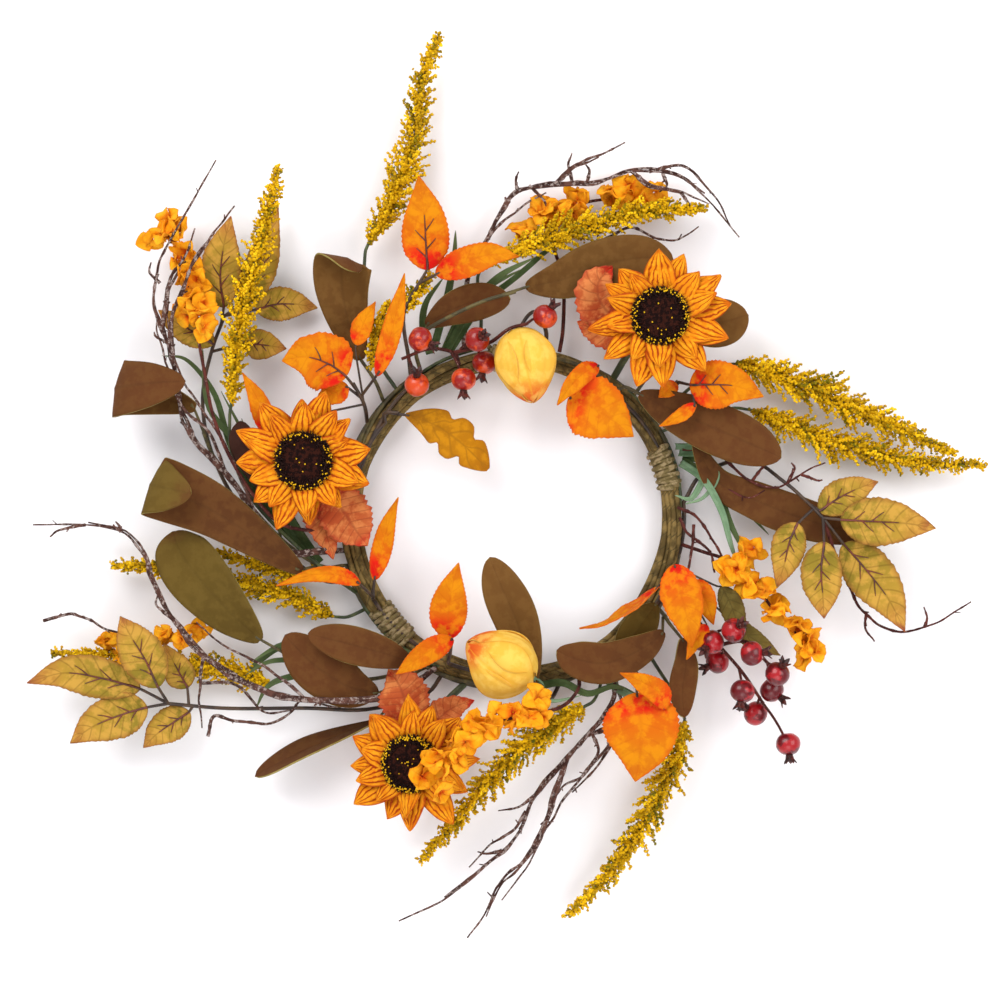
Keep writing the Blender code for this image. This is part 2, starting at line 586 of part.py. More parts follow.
def make_ring():
    steps = [360 * i / RING_STEPS for i in range(RING_STEPS)]
    centres = [on_ring(step) for step in steps]
    hoop = [circle(centre, out, TOWARDS_VIEWER, HOOP_RADIUS, 4) for centre, out in centres]
    node("ring_hoop_wire", [skin(hoop, closed=True)], "wire")
    for strand in range(STRAND_COUNT):
        rings = []
        for step, (centre, out) in zip(steps, centres):
            turn = math.radians(STRAND_TURNS * step + 360 * strand / STRAND_COUNT)
            offset = out * math.cos(turn) + TOWARDS_VIEWER * math.sin(turn)
            rings.append(circle(centre + offset * STRAND_OFFSET, out, TOWARDS_VIEWER, STRAND_RADIUS, 5))
        node(f"vine_strand_{strand + 1}", [skin(rings, closed=True)], "vine")


def make_bands():
    """Sleeves of tape round the bundle. The flat at the back of each lies on the door."""
    sides = 12
    widen = 1 / math.cos(math.pi / sides)
    for name, degrees in BAND_PLACES.items():
        stations = [degrees + BAND_HALF_SPAN * side for side in (-1, 0, 1)]
        rings = []
        for radius, order in ((BAND_OUTER, stations), (BAND_INNER, stations[::-1])):
            for station in order:
                centre, out = on_ring(station)
                rings.append(circle(centre, out, TOWARDS_VIEWER, radius * widen, sides))
        node(f"tape_band_{name}", [skin(rings, closed=True)], "tape")


def petal_whorl(count, reach, base, first_turn):
    """A flat-rooted ring of pointed petals round the boss, lifting forward to their tips."""
    shape = bmesh.new()
    hole = BOSS_RADIUS + TOUCH_GAP
    layers = []
    for depth in (base, base + PETAL_THICKNESS):
        layer = []
        for petal in range(count):
            turn = first_turn + 2 * math.pi * petal / count
            half = math.pi / count
            corners = ((hole / math.cos(half), turn, 0), (PETAL_ROOT_RADIUS, turn, 0),
                       (reach * 0.66, turn + half * 0.3, PETAL_LIFT * 0.5),
                       (reach, turn + half, PETAL_LIFT),
                       (reach * 0.66, turn + half * 1.7, PETAL_LIFT * 0.5))
            layer.append([shape.verts.new(Vector((r * math.cos(a), -(depth + lift), r * math.sin(a))) * MM)
                          for r, a, lift in corners])
        layers.append(layer)
    for petal in range(count):
        after = (petal + 1) % count
        back, front = layers[0][petal], layers[1][petal]
        back_next, front_next = layers[0][after], layers[1][after]
        for here, there in ((front, front_next), (back, back_next)):
            shape.faces.new((here[0], here[1], there[1]))
            shape.faces.new((here[0], there[1], there[0]))
            shape.faces.new((here[1], here[2], there[1]))
            shape.faces.new((here[2], here[4], there[1]))
            shape.faces.new((here[2], here[3], here[4]))
        edges = ((back[1], back[2], front[1], front[2]), (back[2], back[3], front[2], front[3]),
                 (back[3], back[4], front[3], front[4]), (back[4], back_next[1], front[4], front_next[1]),
                 (back[0], back_next[0], front[0], front_next[0]))
        for a, b, c, d in edges:
            shape.faces.new((a, b, d))
            shape.faces.new((a, d, c))
    bmesh.ops.recalc_face_normals(shape, faces=shape.faces)
    return shape


def seed_disc(base):
    """A domed disc with a boss behind it, which goes through both whorls and holds the peg's socket."""
    socket = PEG_RADIUS + TOUCH_GAP
    profile = [(socket, PEG_LENGTH - 2), (socket, 0), (BOSS_RADIUS, 0), (BOSS_RADIUS, base),
               (DISC_RADIUS * 0.93, base), (DISC_RADIUS, base + DISC_HEIGHT * 0.4),
               (DISC_RADIUS * 0.8, base + DISC_HEIGHT * 0.85), (DISC_RADIUS * 0.3, base + DISC_HEIGHT)]
    first, second = Vector((1, 0, 0)), Vector((0, 0, 1))
    return skin([circle(TOWARDS_VIEWER * depth, first, second, radius, 10) for radius, depth in profile])


def make_sunflower(name, flower):
    """A head of two whorls and a seed disc, which turns on the peg of its stem, with one rust leaf behind."""
    centre = place(flower["centre"], flower)
    turn = math.radians(flower["turn"])
    facing = Matrix.Rotation(turn, 3, "Z") @ TOWARDS_VIEWER
    outer_base = TOUCH_GAP
    inner_base = outer_base + PETAL_THICKNESS + PETAL_LIFT * 0.4
    disc_base = inner_base + PETAL_THICKNESS + PETAL_LIFT * 0.4
    pieces = (
        node(f"sunflower_{name}_outer_petals",
             [petal_whorl(OUTER_PETALS, OUTER_PETAL_REACH, outer_base, 0)], "petal"),
        node(f"sunflower_{name}_inner_petals",
             [petal_whorl(INNER_PETALS, INNER_PETAL_REACH, inner_base, 0.2)], "petal"),
        node(f"sunflower_{name}_seed_disc", [seed_disc(disc_base)], "seed"),
    )
    for piece in pieces:
        piece.location = centre * MM
        piece.rotation_euler = (0, 0, turn)
    peg_tip = PEG_LENGTH - 2 - 2 * TOUCH_GAP
    peg = [centre + facing * depth for depth in (peg_tip, -TOUCH_GAP, -TOUCH_GAP - 0.2, -CALYX_LENGTH)]
    radii = [PEG_RADIUS, PEG_RADIUS, CALYX_RADIUS, STEM_RADIUS * 1.6]
    stops = [place(spot, flower) for spot in flower["stem"][::-1]]
    way = [peg[-1], *stops, root_of(flower, STEM_RADIUS * 1.6)]
    neck = smooth(way, 2)[1:]
    stem = tube(peg + neck, radii + [STEM_RADIUS * 1.6] * len(neck), 6)
    leaf = flower["leaf"]
    blade = leaf_shapes(flower, (leaf[0], leaf[1:], 13, (0, 0)), pointed_outline, 1)
    node(f"sunflower_{name}_stem", [stem, *blade], "stem")


def make_leaf_pick(name, pick, material, outline):
    stem = smooth([root_of(pick, STEM_RADIUS)] + [place(spot, pick) for spot in pick["stem"]], 2)
    shapes = [tube(stem, tapered(stem, STEM_RADIUS, STEM_RADIUS * 0.8), 4)]
    for leaf in pick["leaves"]:
        steps = 2 if len(leaf[1]) > 5 or len(leaf[1]) < 4 else 1
        shapes += leaf_shapes(pick, leaf, outline, steps)
    node(name, shapes, material)


def make_goldenrod(name, pick):
    spots, widths = zip(*pick["plume"])
    way = [place(spot, pick) for spot in (*pick["stem"], *spots[:2])]
    stem = smooth([root_of(pick, STEM_RADIUS)] + way, 2)
    plume = tube([place(spot, pick) for spot in spots], widths, 6)
    node(name, [tube(stem, tapered(stem, STEM_RADIUS, STEM_RADIUS * 0.8), 4), plume], "goldenrod")


def make_twig(name, pick):
    shapes = []
    for branch in pick["branches"]:
        spots = [place(spot, pick) for spot in branch]
        if not shapes:
            spots.insert(0, root_of(pick, TWIG_RADIUS))
        line = smooth(spots, 1)
        shapes.append(tube(line, tapered(line, TWIG_RADIUS, TWIG_RADIUS * 0.5), 4))
    node(name, shapes, "twig")


def make_berries(name, cluster):
    shapes = []
    for branch in cluster["branches"]:
        spots = [place(spot, cluster) for spot in branch]
        if not shapes:
            spots.insert(0, root_of(cluster, TWIG_RADIUS))
        line = smooth(spots, 2)
        shapes.append(tube(line, tapered(line, TWIG_RADIUS, TWIG_RADIUS * 0.8), 4))
    for stalk, centre, tip in cluster["berries"]:
        middle = place(centre, cluster)
        outwards = Vector((tip[0], -tip[2], tip[1])).normalized()
        shapes.append(tube([place(stalk, cluster), middle], [TWIG_RADIUS * 0.7] * 2, 4))
        shapes.append(ball(middle, outwards, BERRY_RADIUS, BERRY_RADIUS, 6, 5))
        cup = [middle + outwards * (BERRY_RADIUS * reach) for reach in (0.8, 1.6)]
        shapes.append(tube(cup, (2.0, 3.6), 5))
    node(name, shapes, "berry")


def make_lantern(name, fruit):
    centre = place(fruit["centre"], fruit)
    right, up, forward = fruit["tip"]
    axis = Vector((right, -forward, up)).normalized()
    top = centre - axis * fruit["half_length"] * 0.9
    stops = [place(spot, fruit) for spot in fruit["stem"]]
    way = [root_of(fruit, STEM_RADIUS), *stops, top, centre]
    stem = smooth(way, 2)
    body = ball(centre, axis, fruit["half_width"], fruit["half_length"], 10, 7)
    node(name, [tube(stem, tapered(stem, STEM_RADIUS, STEM_RADIUS * 0.8)), body], "lantern")


def make_blossoms(name, spray):
    line = smooth([root_of(spray, TWIG_RADIUS)] + [place(spot, spray) for spot in spray["stem"]], 1)
    shapes = [tube(line, tapered(line, TWIG_RADIUS, TWIG_RADIUS * 0.8), 4)]
    for spot in spray["blossoms"]:
        shapes.append(ball(place(spot, spray), Vector((0.2, -0.97, 0.1)).normalized(), BLOSSOM_RADIUS,
                           BLOSSOM_RADIUS * 0.6, 7, 4))
    node(name, shapes, "blossom")


def main():
    for old in list(bpy.data.objects):
        bpy.data.objects.remove(old, do_unlink=True)
    make_ring()
    make_bands()
    for name, flower in SUNFLOWERS.items():
        make_sunflower(name, flower)
    for picks, material, outline in ((MAGNOLIA_SPRAYS, "magnolia", oval_outline),
                                     (ORANGE_PICKS, "orange", pointed_outline),
                                     (GREEN_SPRAYS, "green", pointed_outline),
                                     (OAK_LEAVES, "oak", lobed_outline)):
        for name, pick in picks.items():
            make_leaf_pick(name, pick, material, outline)
    for name, pick in GOLDENRODS.items():
        make_goldenrod(name, pick)
    for name, pick in TWIGS.items():
        make_twig(name, pick)
    for name, cluster in BERRY_CLUSTERS.items():
        make_berries(name, cluster)
    for name, fruit in LANTERNS.items():
        make_lantern(name, fruit)
    for name, spray in BLOSSOM_SPRAYS.items():
        make_blossoms(name, spray)


main()
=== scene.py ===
"""Looks of the harvest door wreath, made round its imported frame.

Places in the tables are millimetres: right and up of the ring's centre, and forward of the door. Each
finished piece rides on the body that carries it: the ring's picks on the root, each sunflower's petals
and seed disc on the head that turns.
"""

import math
import random

import bpy
import numpy as np
from mathutils import Matrix, Quaternion, Vector, noise


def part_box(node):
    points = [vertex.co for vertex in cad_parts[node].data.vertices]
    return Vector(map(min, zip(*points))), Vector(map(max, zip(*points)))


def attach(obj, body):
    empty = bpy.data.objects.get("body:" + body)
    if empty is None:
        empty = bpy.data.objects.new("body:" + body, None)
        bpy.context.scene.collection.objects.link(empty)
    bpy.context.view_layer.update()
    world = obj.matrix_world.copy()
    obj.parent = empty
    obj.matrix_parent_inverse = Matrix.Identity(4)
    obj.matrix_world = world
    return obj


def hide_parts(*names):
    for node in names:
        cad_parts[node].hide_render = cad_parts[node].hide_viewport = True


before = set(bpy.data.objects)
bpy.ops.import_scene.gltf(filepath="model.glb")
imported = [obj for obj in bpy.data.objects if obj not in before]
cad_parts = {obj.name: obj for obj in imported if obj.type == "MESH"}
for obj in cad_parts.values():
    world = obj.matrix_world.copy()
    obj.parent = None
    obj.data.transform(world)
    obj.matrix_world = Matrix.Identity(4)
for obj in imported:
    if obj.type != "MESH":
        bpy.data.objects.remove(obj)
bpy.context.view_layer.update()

MM = 0.001
TOWARDS_VIEWER = Vector((0, -1, 0))
RING_FORWARD = 7.88
hoop_low, hoop_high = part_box("ring_hoop_wire")
RING_CENTRE = (hoop_low + hoop_high) / 2
RING_RADIUS = 94.0
BUNDLE_RADIUS = 6.3
STEM_RADIUS = 1.3
TWIG_RADIUS = 1.2
HEAD_DEPTHS = {"outer": 0.8, "inner": 3.9, "disc": 7.2}
BERRY_RADIUS = 7.0
GOLDEN_ANGLE = math.radians(137.5)
PETAL_RIDGES = 2.5
VEIN_SLANT = 1.1

SUNFLOWERS = {
    "right": {"centre": (85, 116, 45), "turn": 0, "root": 54, "stem": [(68, 96, 15), (80, 110, 25)],
              "leaf": [(76, 108, 20), (62, 114, 26), (52, 124, 30), (50, 136, 32), (58, 146, 30)]},
    "left": {"centre": (-120, 33, 45), "turn": 0, "root": 163, "stem": [(-106, 30, 14), (-116, 33, 24)],
             "leaf": [(-116, 33, 23), (-106, 16, 28), (-98, 4, 31), (-90, -8, 30), (-84, -16, 28)]},
    "bottom": {"centre": (-57, -141, 45), "turn": -12, "root": 254,
               "stem": [(-42, -112, 12), (-52, -134, 22)],
               "leaf": [(-52, -134, 21), (-58, -118, 28), (-62, -106, 31), (-66, -96, 30), (-72, -88, 27)]},
}

# Each leaf: where its stalk starts, its midrib, its half width and, if it is turned, its roll in degrees at
# base and tip
MAGNOLIA_SPRAYS = {
    "magnolia_spray_left": {
        "root": 196, "stem": [(-112, -28, 17), (-135, -12, 20), (-158, 14, 19), (-174, 36, 19),
                              (-180, 50, 20)],
        "leaves": [
            ((-177, 43, 19), [(-184, 64, 24), (-206, 70, 21), (-224, 74, 21), (-230, 75, 28),
                              (-224, 76, 35),
                              (-207, 78, 38), (-189, 79, 36)], 17),
            ((-112, -28, 17), [(-122, -31, 33), (-148, -12, 38), (-174, 5, 40), (-197, 15, 41),
                               (-208, 19, 49),
                               (-198, 17, 56), (-184, 14, 55)], 18),
            ((-135, -12, 20), [(-136, 8, 27), (-144, 24, 31), (-155, 42, 32), (-158, 56, 30)], 9),
        ]},
    "magnolia_leaf_left": {
        "root": 234, "stem": [(-70, -92, 10), (-100, -94, 14), (-130, -80, 24)],
        "leaves": [
            ((-130, -80, 24), [(-146, -71, 29), (-163, -55, 33), (-180, -36, 35), (-192, -20, 33),
                               (-197, -8, 28)], 18, (-14, 0)),
        ]},
    "magnolia_spray_lower_left": {
        "root": 240, "stem": [(-58, -92, 16), (-66, -104, 20)],
        "leaves": [
            ((-62, -98, 18), [(-78, -102, 25), (-95, -98, 28), (-115, -85, 30), (-132, -68, 28)], 15),
            ((-58, -92, 16), [(-58, -84, 30), (-75, -78, 38), (-97, -72, 40), (-118, -67, 36)], 11),
            ((-66, -104, 20), [(-79, -119, 14), (-105, -129, 14), (-128, -139, 16), (-150, -151, 16)], 12,
             (72, 60)),
        ]},
    "magnolia_leaf_upper_left": {
        "root": 138, "stem": [(-80, 80, 18), (-88, 92, 22)],
        "leaves": [
            ((-84, 86, 20), [(-88, 92, 22), (-95, 113, 22), (-99, 134, 22), (-98, 149, 26), (-94, 149, 35),
                             (-89, 142, 38)], 17),
        ]},
    "magnolia_spray_top": {
        "root": 122, "stem": [(-56, 98, 18), (-50, 109, 27), (-20, 124, 37), (2, 131, 33)],
        "leaves": [
            ((-54, 102, 21), [(-50, 112, 24), (-35, 121, 27), (-18, 126, 28), (-1, 127, 27)], 11),
            ((-6, 129, 35), [(8, 134, 29), (28, 138, 27), (50, 146, 28), (74, 151, 26), (94, 150, 22)], 15),
        ]},
    "magnolia_leaf_upper_right": {
        "root": 45, "stem": [(80, 84, 14), (92, 102, 20)],
        "leaves": [
            ((84, 90, 15), [(97, 107, 26), (110, 111, 29), (124, 114, 30), (137, 118, 28)], 14),
        ]},
    "magnolia_spray_right": {
        "root": 50, "side": 70, "stem": [(66, 76, 24), (78, 70, 26)],
        "leaves": [
            ((66, 76, 24), [(74, 72, 27), (92, 63, 29), (115, 53, 32), (138, 43, 33), (156, 35, 30)], 15),
            ((96, 61, 29), [(106, 44, 24), (120, 21, 20), (142, 10, 23), (165, 1, 24), (188, -6, 24),
                            (208, -11, 20)], 12),
        ]},
    "magnolia_leaf_bottom": {
        "root": 279, "stem": [(16, -106, 16), (15, -105, 26)],
        "leaves": [
            ((15, -105, 26), [(12, -97, 29), (8, -78, 34), (2, -58, 37), (-6, -40, 37), (-13, -23, 34)],
             13),
        ]},
    "magnolia_spray_lower_right": {
        "root": 328, "stem": [(88, -56, 18), (92, -62, 22)],
        "leaves": [
            ((88, -58, 19), [(88, -66, 30), (75, -76, 33), (55, -84, 33), (38, -82, 33), (26, -77, 31)],
             12),
            ((92, -62, 22), [(99, -70, 24), (101, -84, 26), (99, -100, 27), (100, -116, 26)], 8),
            ((90, -58, 20), [(84, -50, 27), (78, -58, 25), (70, -70, 24), (62, -82, 24)], 10),
        ]},
}

ORANGE_PICKS = {
    "orange_pick_top": {
        "root": 127, "side": 60, "stem": [(-60, 92, 24), (-63, 118, 27), (-54, 136, 30)],
        "leaves": [
            ((-54, 136, 30), [(-49, 144, 31), (-50, 160, 34), (-51, 178, 36), (-54, 198, 34)], 14),
            ((-54, 136, 30), [(-44, 141, 35), (-28, 147, 42), (-12, 152, 43), (4, 151, 40)], 9),
        ]},
    "orange_pick_left": {
        "root": 147, "stem": [(-86, 66, 26), (-92, 78, 34)],
        "leaves": [
            ((-90, 74, 31), [(-96, 82, 36), (-106, 89, 39), (-119, 93, 40), (-133, 91, 37)], 17),
            ((-88, 70, 28), [(-95, 76, 32), (-104, 72, 33), (-115, 66, 33)], 7),
            ((-88, 70, 28), [(-78, 82, 40), (-71, 102, 45), (-66, 121, 47), (-62, 141, 44)], 6),
        ]},
    "orange_pick_inner_right": {
        "root": 62, "side": 100, "stem": [(42, 82, 26), (36, 78, 34)],
        "leaves": [
            ((38, 79, 32), [(33, 70, 38), (44, 65, 41), (57, 57, 42), (70, 47, 40)], 18),
            ((42, 82, 26), [(50, 88, 36), (42, 84, 44), (33, 75, 47), (26, 65, 46)], 6),
        ]},
    "orange_leaf_right": {
        "root": 39, "stem": [(88, 68, 14), (97, 79, 22)],
        "leaves": [
            ((97, 79, 22), [(103, 77, 34), (115, 77, 40), (129, 76, 43), (145, 70, 42)], 14),
            ((103.5, 77.5, 31.5), [(106, 66, 38), (97, 59, 40), (85, 53, 38)], 4),
        ]},
    "orange_pick_lower_left": {
        "root": 210, "side": 90, "stem": [(-81, -46, 22), (-81, -42, 24)],
        "leaves": [
            ((-81, -44, 23), [(-80, -36, 26), (-76, -20, 29), (-72, -4, 31), (-66, 12, 30)], 6),
            ((-81, -46, 22), [(-88, -38, 38), (-100, -33, 44), (-116, -33, 46), (-136, -39, 46)], 5),
        ]},
    "orange_pick_bottom_mid": {
        "root": 247, "side": 100, "stem": [(-37, -84, 22), (-36, -78, 27)],
        "leaves": [
            ((-36, -78, 27), [(-36, -70, 31), (-37, -56, 34), (-35, -42, 36), (-31, -26, 34)], 11),
            ((-36, -80, 26), [(-34, -70, 40), (-45, -75, 44), (-57, -83, 46), (-67, -90, 44)], 7),
        ]},
    "orange_pick_lower_right": {
        "root": 341, "side": 60, "stem": [(95, -28, 24), (97, -34, 28)],
        "leaves": [
            ((97, -32, 27), [(94, -27, 36), (97, -42, 40), (101, -58, 41), (104, -75, 38)], 12),
            ((97, -34, 28), [(106, -36, 28), (112, -48, 29), (117, -62, 27)], 7),
            ((95, -29, 25), [(85, -40, 32), (72, -50, 36), (56, -60, 38), (39, -64, 37)], 8, (74, 74)),
        ]},
    "orange_pick_bottom": {
        "root": 312, "stem": [(70, -86, 14), (72, -96, 30)],
        "leaves": [
            ((72, -92, 25), [(72, -101, 40), (74, -117, 44), (74, -134, 44), (71, -152, 41)], 22),
        ]},
}

GREEN_SPRAYS = {
    "green_spray_lower_left": {
        "root": 246, "stem": [(-52, -104, 9), (-85, -112, 14), (-120, -111, 18), (-165, -111, 21),
                              (-200, -108, 24)],
        "leaves": [
            ((-200, -108, 24), [(-216, -99, 28), (-238, -93, 30), (-260, -90, 30), (-282, -96, 26)], 12),
            ((-200, -108, 24), [(-212, -110, 26), (-226, -114, 28), (-243, -121, 28), (-257, -131, 24)],
             13),
            ((-186, -110, 23), [(-188, -113, 20), (-197, -119, 20), (-207, -126, 20), (-215, -134, 18)],
             10),
            ((-200, -108, 24), [(-205, -98, 34), (-212, -82, 38), (-220, -69, 38), (-227, -57, 34)], 13),
            ((-188, -110, 23), [(-189, -99, 20), (-195, -88, 21), (-203, -73, 20)], 9),
        ]},
    "green_spray_upper_left": {
        "root": 201, "stem": [(-112, -36, 9), (-140, -14, 10), (-163, 12, 10), (-177, 42, 10),
                              (-181, 70, 11),
                              (-176, 96, 13), (-168, 118, 14)],
        "leaves": [
            ((-170, 113, 14), [(-168, 123, 17), (-170, 140, 20), (-168, 158, 21), (-164, 176, 18)], 12),
            ((-168, 118, 14), [(-156, 126, 9), (-149, 142, 10), (-143, 160, 10), (-137, 183, 8)], 10),
            ((-168, 118, 14), [(-150, 122, 7), (-138, 125, 8), (-126, 125, 8), (-114, 123, 7)], 10),
            ((-176, 97, 13), [(-157, 102, 11), (-145, 101, 12), (-132, 99, 11)], 9),
            ((-177, 92, 13), [(-174, 101, 22), (-185, 108, 24), (-196, 114, 24), (-206, 121, 20)], 9),
        ]},
    "green_spray_right": {
        "root": 5, "stem": [(112, 26, 8), (138, 34, 12), (158, 21, 26), (170, 10, 34), (180, 0, 34)],
        "leaves": [
            ((172, 8, 34), [(178, 4, 34), (188, 11, 36), (200, 17, 36), (212, 21, 33)], 10),
            ((180, 0, 34), [(190, -1, 37), (207, -2, 40), (226, -3, 40), (245, -6, 36)], 14),
            ((174, 5, 34), [(165, -3, 38), (160, -14, 41), (157, -27, 41), (153, -40, 38)], 10),
            ((180, 0, 34), [(180, -14, 42), (178, -30, 45), (179, -45, 45), (180, -58, 41)], 12),
            ((180, 0, 34), [(192, -15, 32), (205, -30, 33), (218, -47, 33), (228, -66, 29)], 14),
        ]},
}

# Each goldenrod: its stem, and its plume as (place, half width) pairs from base to tip
GOLDENRODS = {
    "goldenrod_top_left": {
        "root": 132, "stem": [(-78, 92, 10), (-86, 122, 12), (-86, 152, 14)],
        "plume": [((-84, 160, 14), 4), ((-72, 180, 15), 10), ((-62, 205, 15), 9), ((-55, 232, 15), 7),
                  ((-52, 258, 14), 5), ((-43, 281, 12), 2)]},
    "goldenrod_left": {
        "root": 206, "stem": [(-104, -34, 22), (-128, -14, 24), (-152, 12, 25), (-163, 38, 25),
                              (-164, 58, 27)],
        "plume": [((-163, 66, 28), 4), ((-161, 92, 29), 9), ((-156, 122, 30), 9), ((-149, 150, 30), 7),
                  ((-142, 176, 29), 5), ((-136, 203, 27), 2)]},
    "goldenrod_top": {
        "root": 101, "stem": [(-18, 116, 12), (-20, 140, 18)],
        "plume": [((-14, 148, 20), 5), ((12, 159, 22), 10), ((38, 168, 22), 9), ((66, 176, 21), 7),
                  ((88, 180, 20), 5), ((112, 180, 18), 2)]},
    "goldenrod_right_upper": {
        "root": 34, "stem": [(102, 74, 10), (120, 88, 12)],
        "plume": [((130, 90, 14), 6), ((152, 84, 17), 11), ((178, 74, 19), 11), ((206, 61, 19), 8),
                  ((232, 49, 18), 5), ((258, 38, 16), 2)]},
    "goldenrod_right_lower": {
        "root": 30, "stem": [(108, 58, 9), (128, 64, 10)],
        "plume": [((140, 63, 11), 5), ((162, 54, 14), 9), ((188, 44, 16), 9), ((214, 37, 16), 7),
                  ((242, 32, 15), 5), ((275, 31, 13), 2)]},
    "goldenrod_bottom": {
        "root": 300, "stem": [(52, -96, 12), (48, -106, 20)],
        "plume": [((42, -110, 22), 5), ((26, -120, 24), 9), ((6, -134, 25), 9), ((-12, -152, 25), 7),
                  ((-32, -176, 24), 5), ((-53, -199, 22), 2)]},
    "goldenrod_bottom_right": {
        "root": 317, "stem": [(84, -86, 9), (98, -108, 12)],
        "plume": [((101, -118, 14), 5), ((94, -144, 17), 9), ((80, -172, 18), 9), ((65, -197, 17), 6),
                  ((49, -216, 16), 4), ((33, -232, 14), 2)]},
    "goldenrod_lower_left": {
        "root": 212, "side": -30, "stem": [(-96, -58, 7)],
        "plume": [((-104, -58, 8), 5), ((-130, -46, 11), 8), ((-160, -38, 12), 7), ((-186, -32, 12), 6),
                  ((-210, -29, 12), 4), ((-233, -28, 11), 2)]},
}

# Each twig: its main branch from the ring, then side branches that start on it
TWIGS = {
    "twig_upper_left": {
        "root": 191, "branches": [
            [(-112, -20, 30), (-130, -20, 33), (-148, 0, 33), (-165, 24, 31), (-182, 42, 30),
             (-191, 58, 28),
             (-196, 84, 28), (-202, 106, 30), (-208, 124, 33), (-205, 146, 34), (-196, 164, 33),
             (-184, 186, 30),
             (-172, 208, 26)],
            [(-196, 86, 28), (-197, 112, 36), (-190, 133, 38), (-182, 152, 37), (-171, 167, 34),
             (-161, 181, 30)],
            [(-203, 108, 30), (-199, 136, 31), (-190, 150, 32), (-184, 168, 30)],
        ]},
    "twig_left": {
        "root": 243, "side": 50, "branches": [
            [(-70, -104, 30), (-118, -106, 36), (-150, -98, 40), (-178, -80, 44), (-196, -58, 46),
             (-207, -38, 44),
             (-212, -22, 42), (-224, -9, 38), (-246, -4, 34), (-278, -4, 28)],
            [(-226, -8, 38), (-229, -2, 40)],
        ]},
    "twig_top": {
        "root": 106, "branches": [
            [(-28, 112, 8), (-26, 140, 8), (-16, 160, 10), (-8, 176, 14), (4, 190, 16), (28, 194, 17),
             (50, 195, 18),
             (70, 202, 18), (94, 200, 18), (112, 188, 16), (133, 164, 12)],
            [(24, 194, 17), (38, 206, 20), (52, 212, 20), (66, 219, 18)],
            [(70, 202, 18), (80, 194, 21), (98, 190, 22), (115, 183, 18)],
        ]},
    "twig_bottom": {
        "root": 306, "branches": [
            [(60, -94, 16), (58, -108, 26), (46, -124, 31), (30, -142, 33), (14, -160, 32), (2, -186, 30),
             (-16, -203, 28), (-40, -222, 25), (-66, -235, 20)],
            [(44, -126, 31), (60, -122, 24), (52, -142, 22), (35, -160, 20)],
            [(32, -140, 33), (25, -156, 38), (18, -178, 39), (6, -198, 37), (-8, -212, 34), (-16, -230, 30),
             (-26, -244, 26)],
        ]},
}

# Each cluster of berries: its branches, and each berry's stalk start, centre and calyx direction
BERRY_CLUSTERS = {
    "berries_top": {
        "root": 109, "side": 80, "branches": [[(-34, 96, 26), (-48, 98, 32), (-64, 92, 34)],
                                              [(-34, 96, 26), (-14, 101, 34), (-2, 109, 42), (9, 112, 46)]],
        "berries": [
            ((-48, 98, 32), (-53, 103, 46), (1, -0.5, 0.2)), ((-60, 93, 34), (-55, 77, 40), (0, 0.6, 0.5)),
            ((-36, 97, 28), (-28, 80, 42), (0, -1, 0.1)), ((-30, 98, 28), (-20, 103, 44), (0.4, 0.2, 1)),
            ((-22, 99, 31), (-16, 90, 30), (-0.2, -1, 0.1)),
            ((7, 111, 45), (19, 116, 46), (0.7, 1, 0.3)),
        ]},
    "berries_lower_right": {
        "root": 335, "branches": [[(98, -48, 14), (110, -62, 18), (122, -76, 22), (134, -90, 26),
                                   (146, -108, 28)],
                                  [(120, -74, 22), (136, -72, 30), (148, -84, 30)]],
        "berries": [
            ((116, -68, 20), (128, -65, 38), (0.4, 0.4, 0.7)),
            ((112, -64, 19), (116, -72, 30), (-0.4, -0.4, 0.5)),
            ((124, -78, 22), (120, -84, 14), (-0.6, -0.3, 0.2)),
            ((136, -72, 30), (138, -78, 46), (1, 0.1, 0.2)),
            ((132, -88, 25), (133, -100, 40), (-0.2, -1, 0.2)),
            ((144, -104, 27), (142, -114, 20), (-0.7, 0.4, 0.3)),
            ((148, -84, 30), (153, -90, 42), (0.3, 0.6, 0.5)),
            ((148, -84, 30), (151, -100, 26), (0.7, -0.6, 0.2)),
            ((146, -108, 28), (160, -131, 32), (0.1, -1, 0.1)),
        ]},
}

# Each lantern: its stalk, its centre, its half width, its half length and the way its tip points
LANTERNS = {
    "lantern_fruit_top": {"root": 79, "stem": [(20, 108, 14), (16, 119, 22), (10, 118, 32)],
                          "centre": (8, 88, 40), "half_width": 18, "half_length": 22,
                          "tip": (0.2, -1, 0.1)},
    "lantern_fruit_bottom": {"root": 286, "stem": [(24, -104, 18), (20, -104, 40)],
                             "centre": (-7, -82, 58), "half_width": 19, "half_length": 22,
                             "tip": (-0.85, 0.5, 0.1)},
}

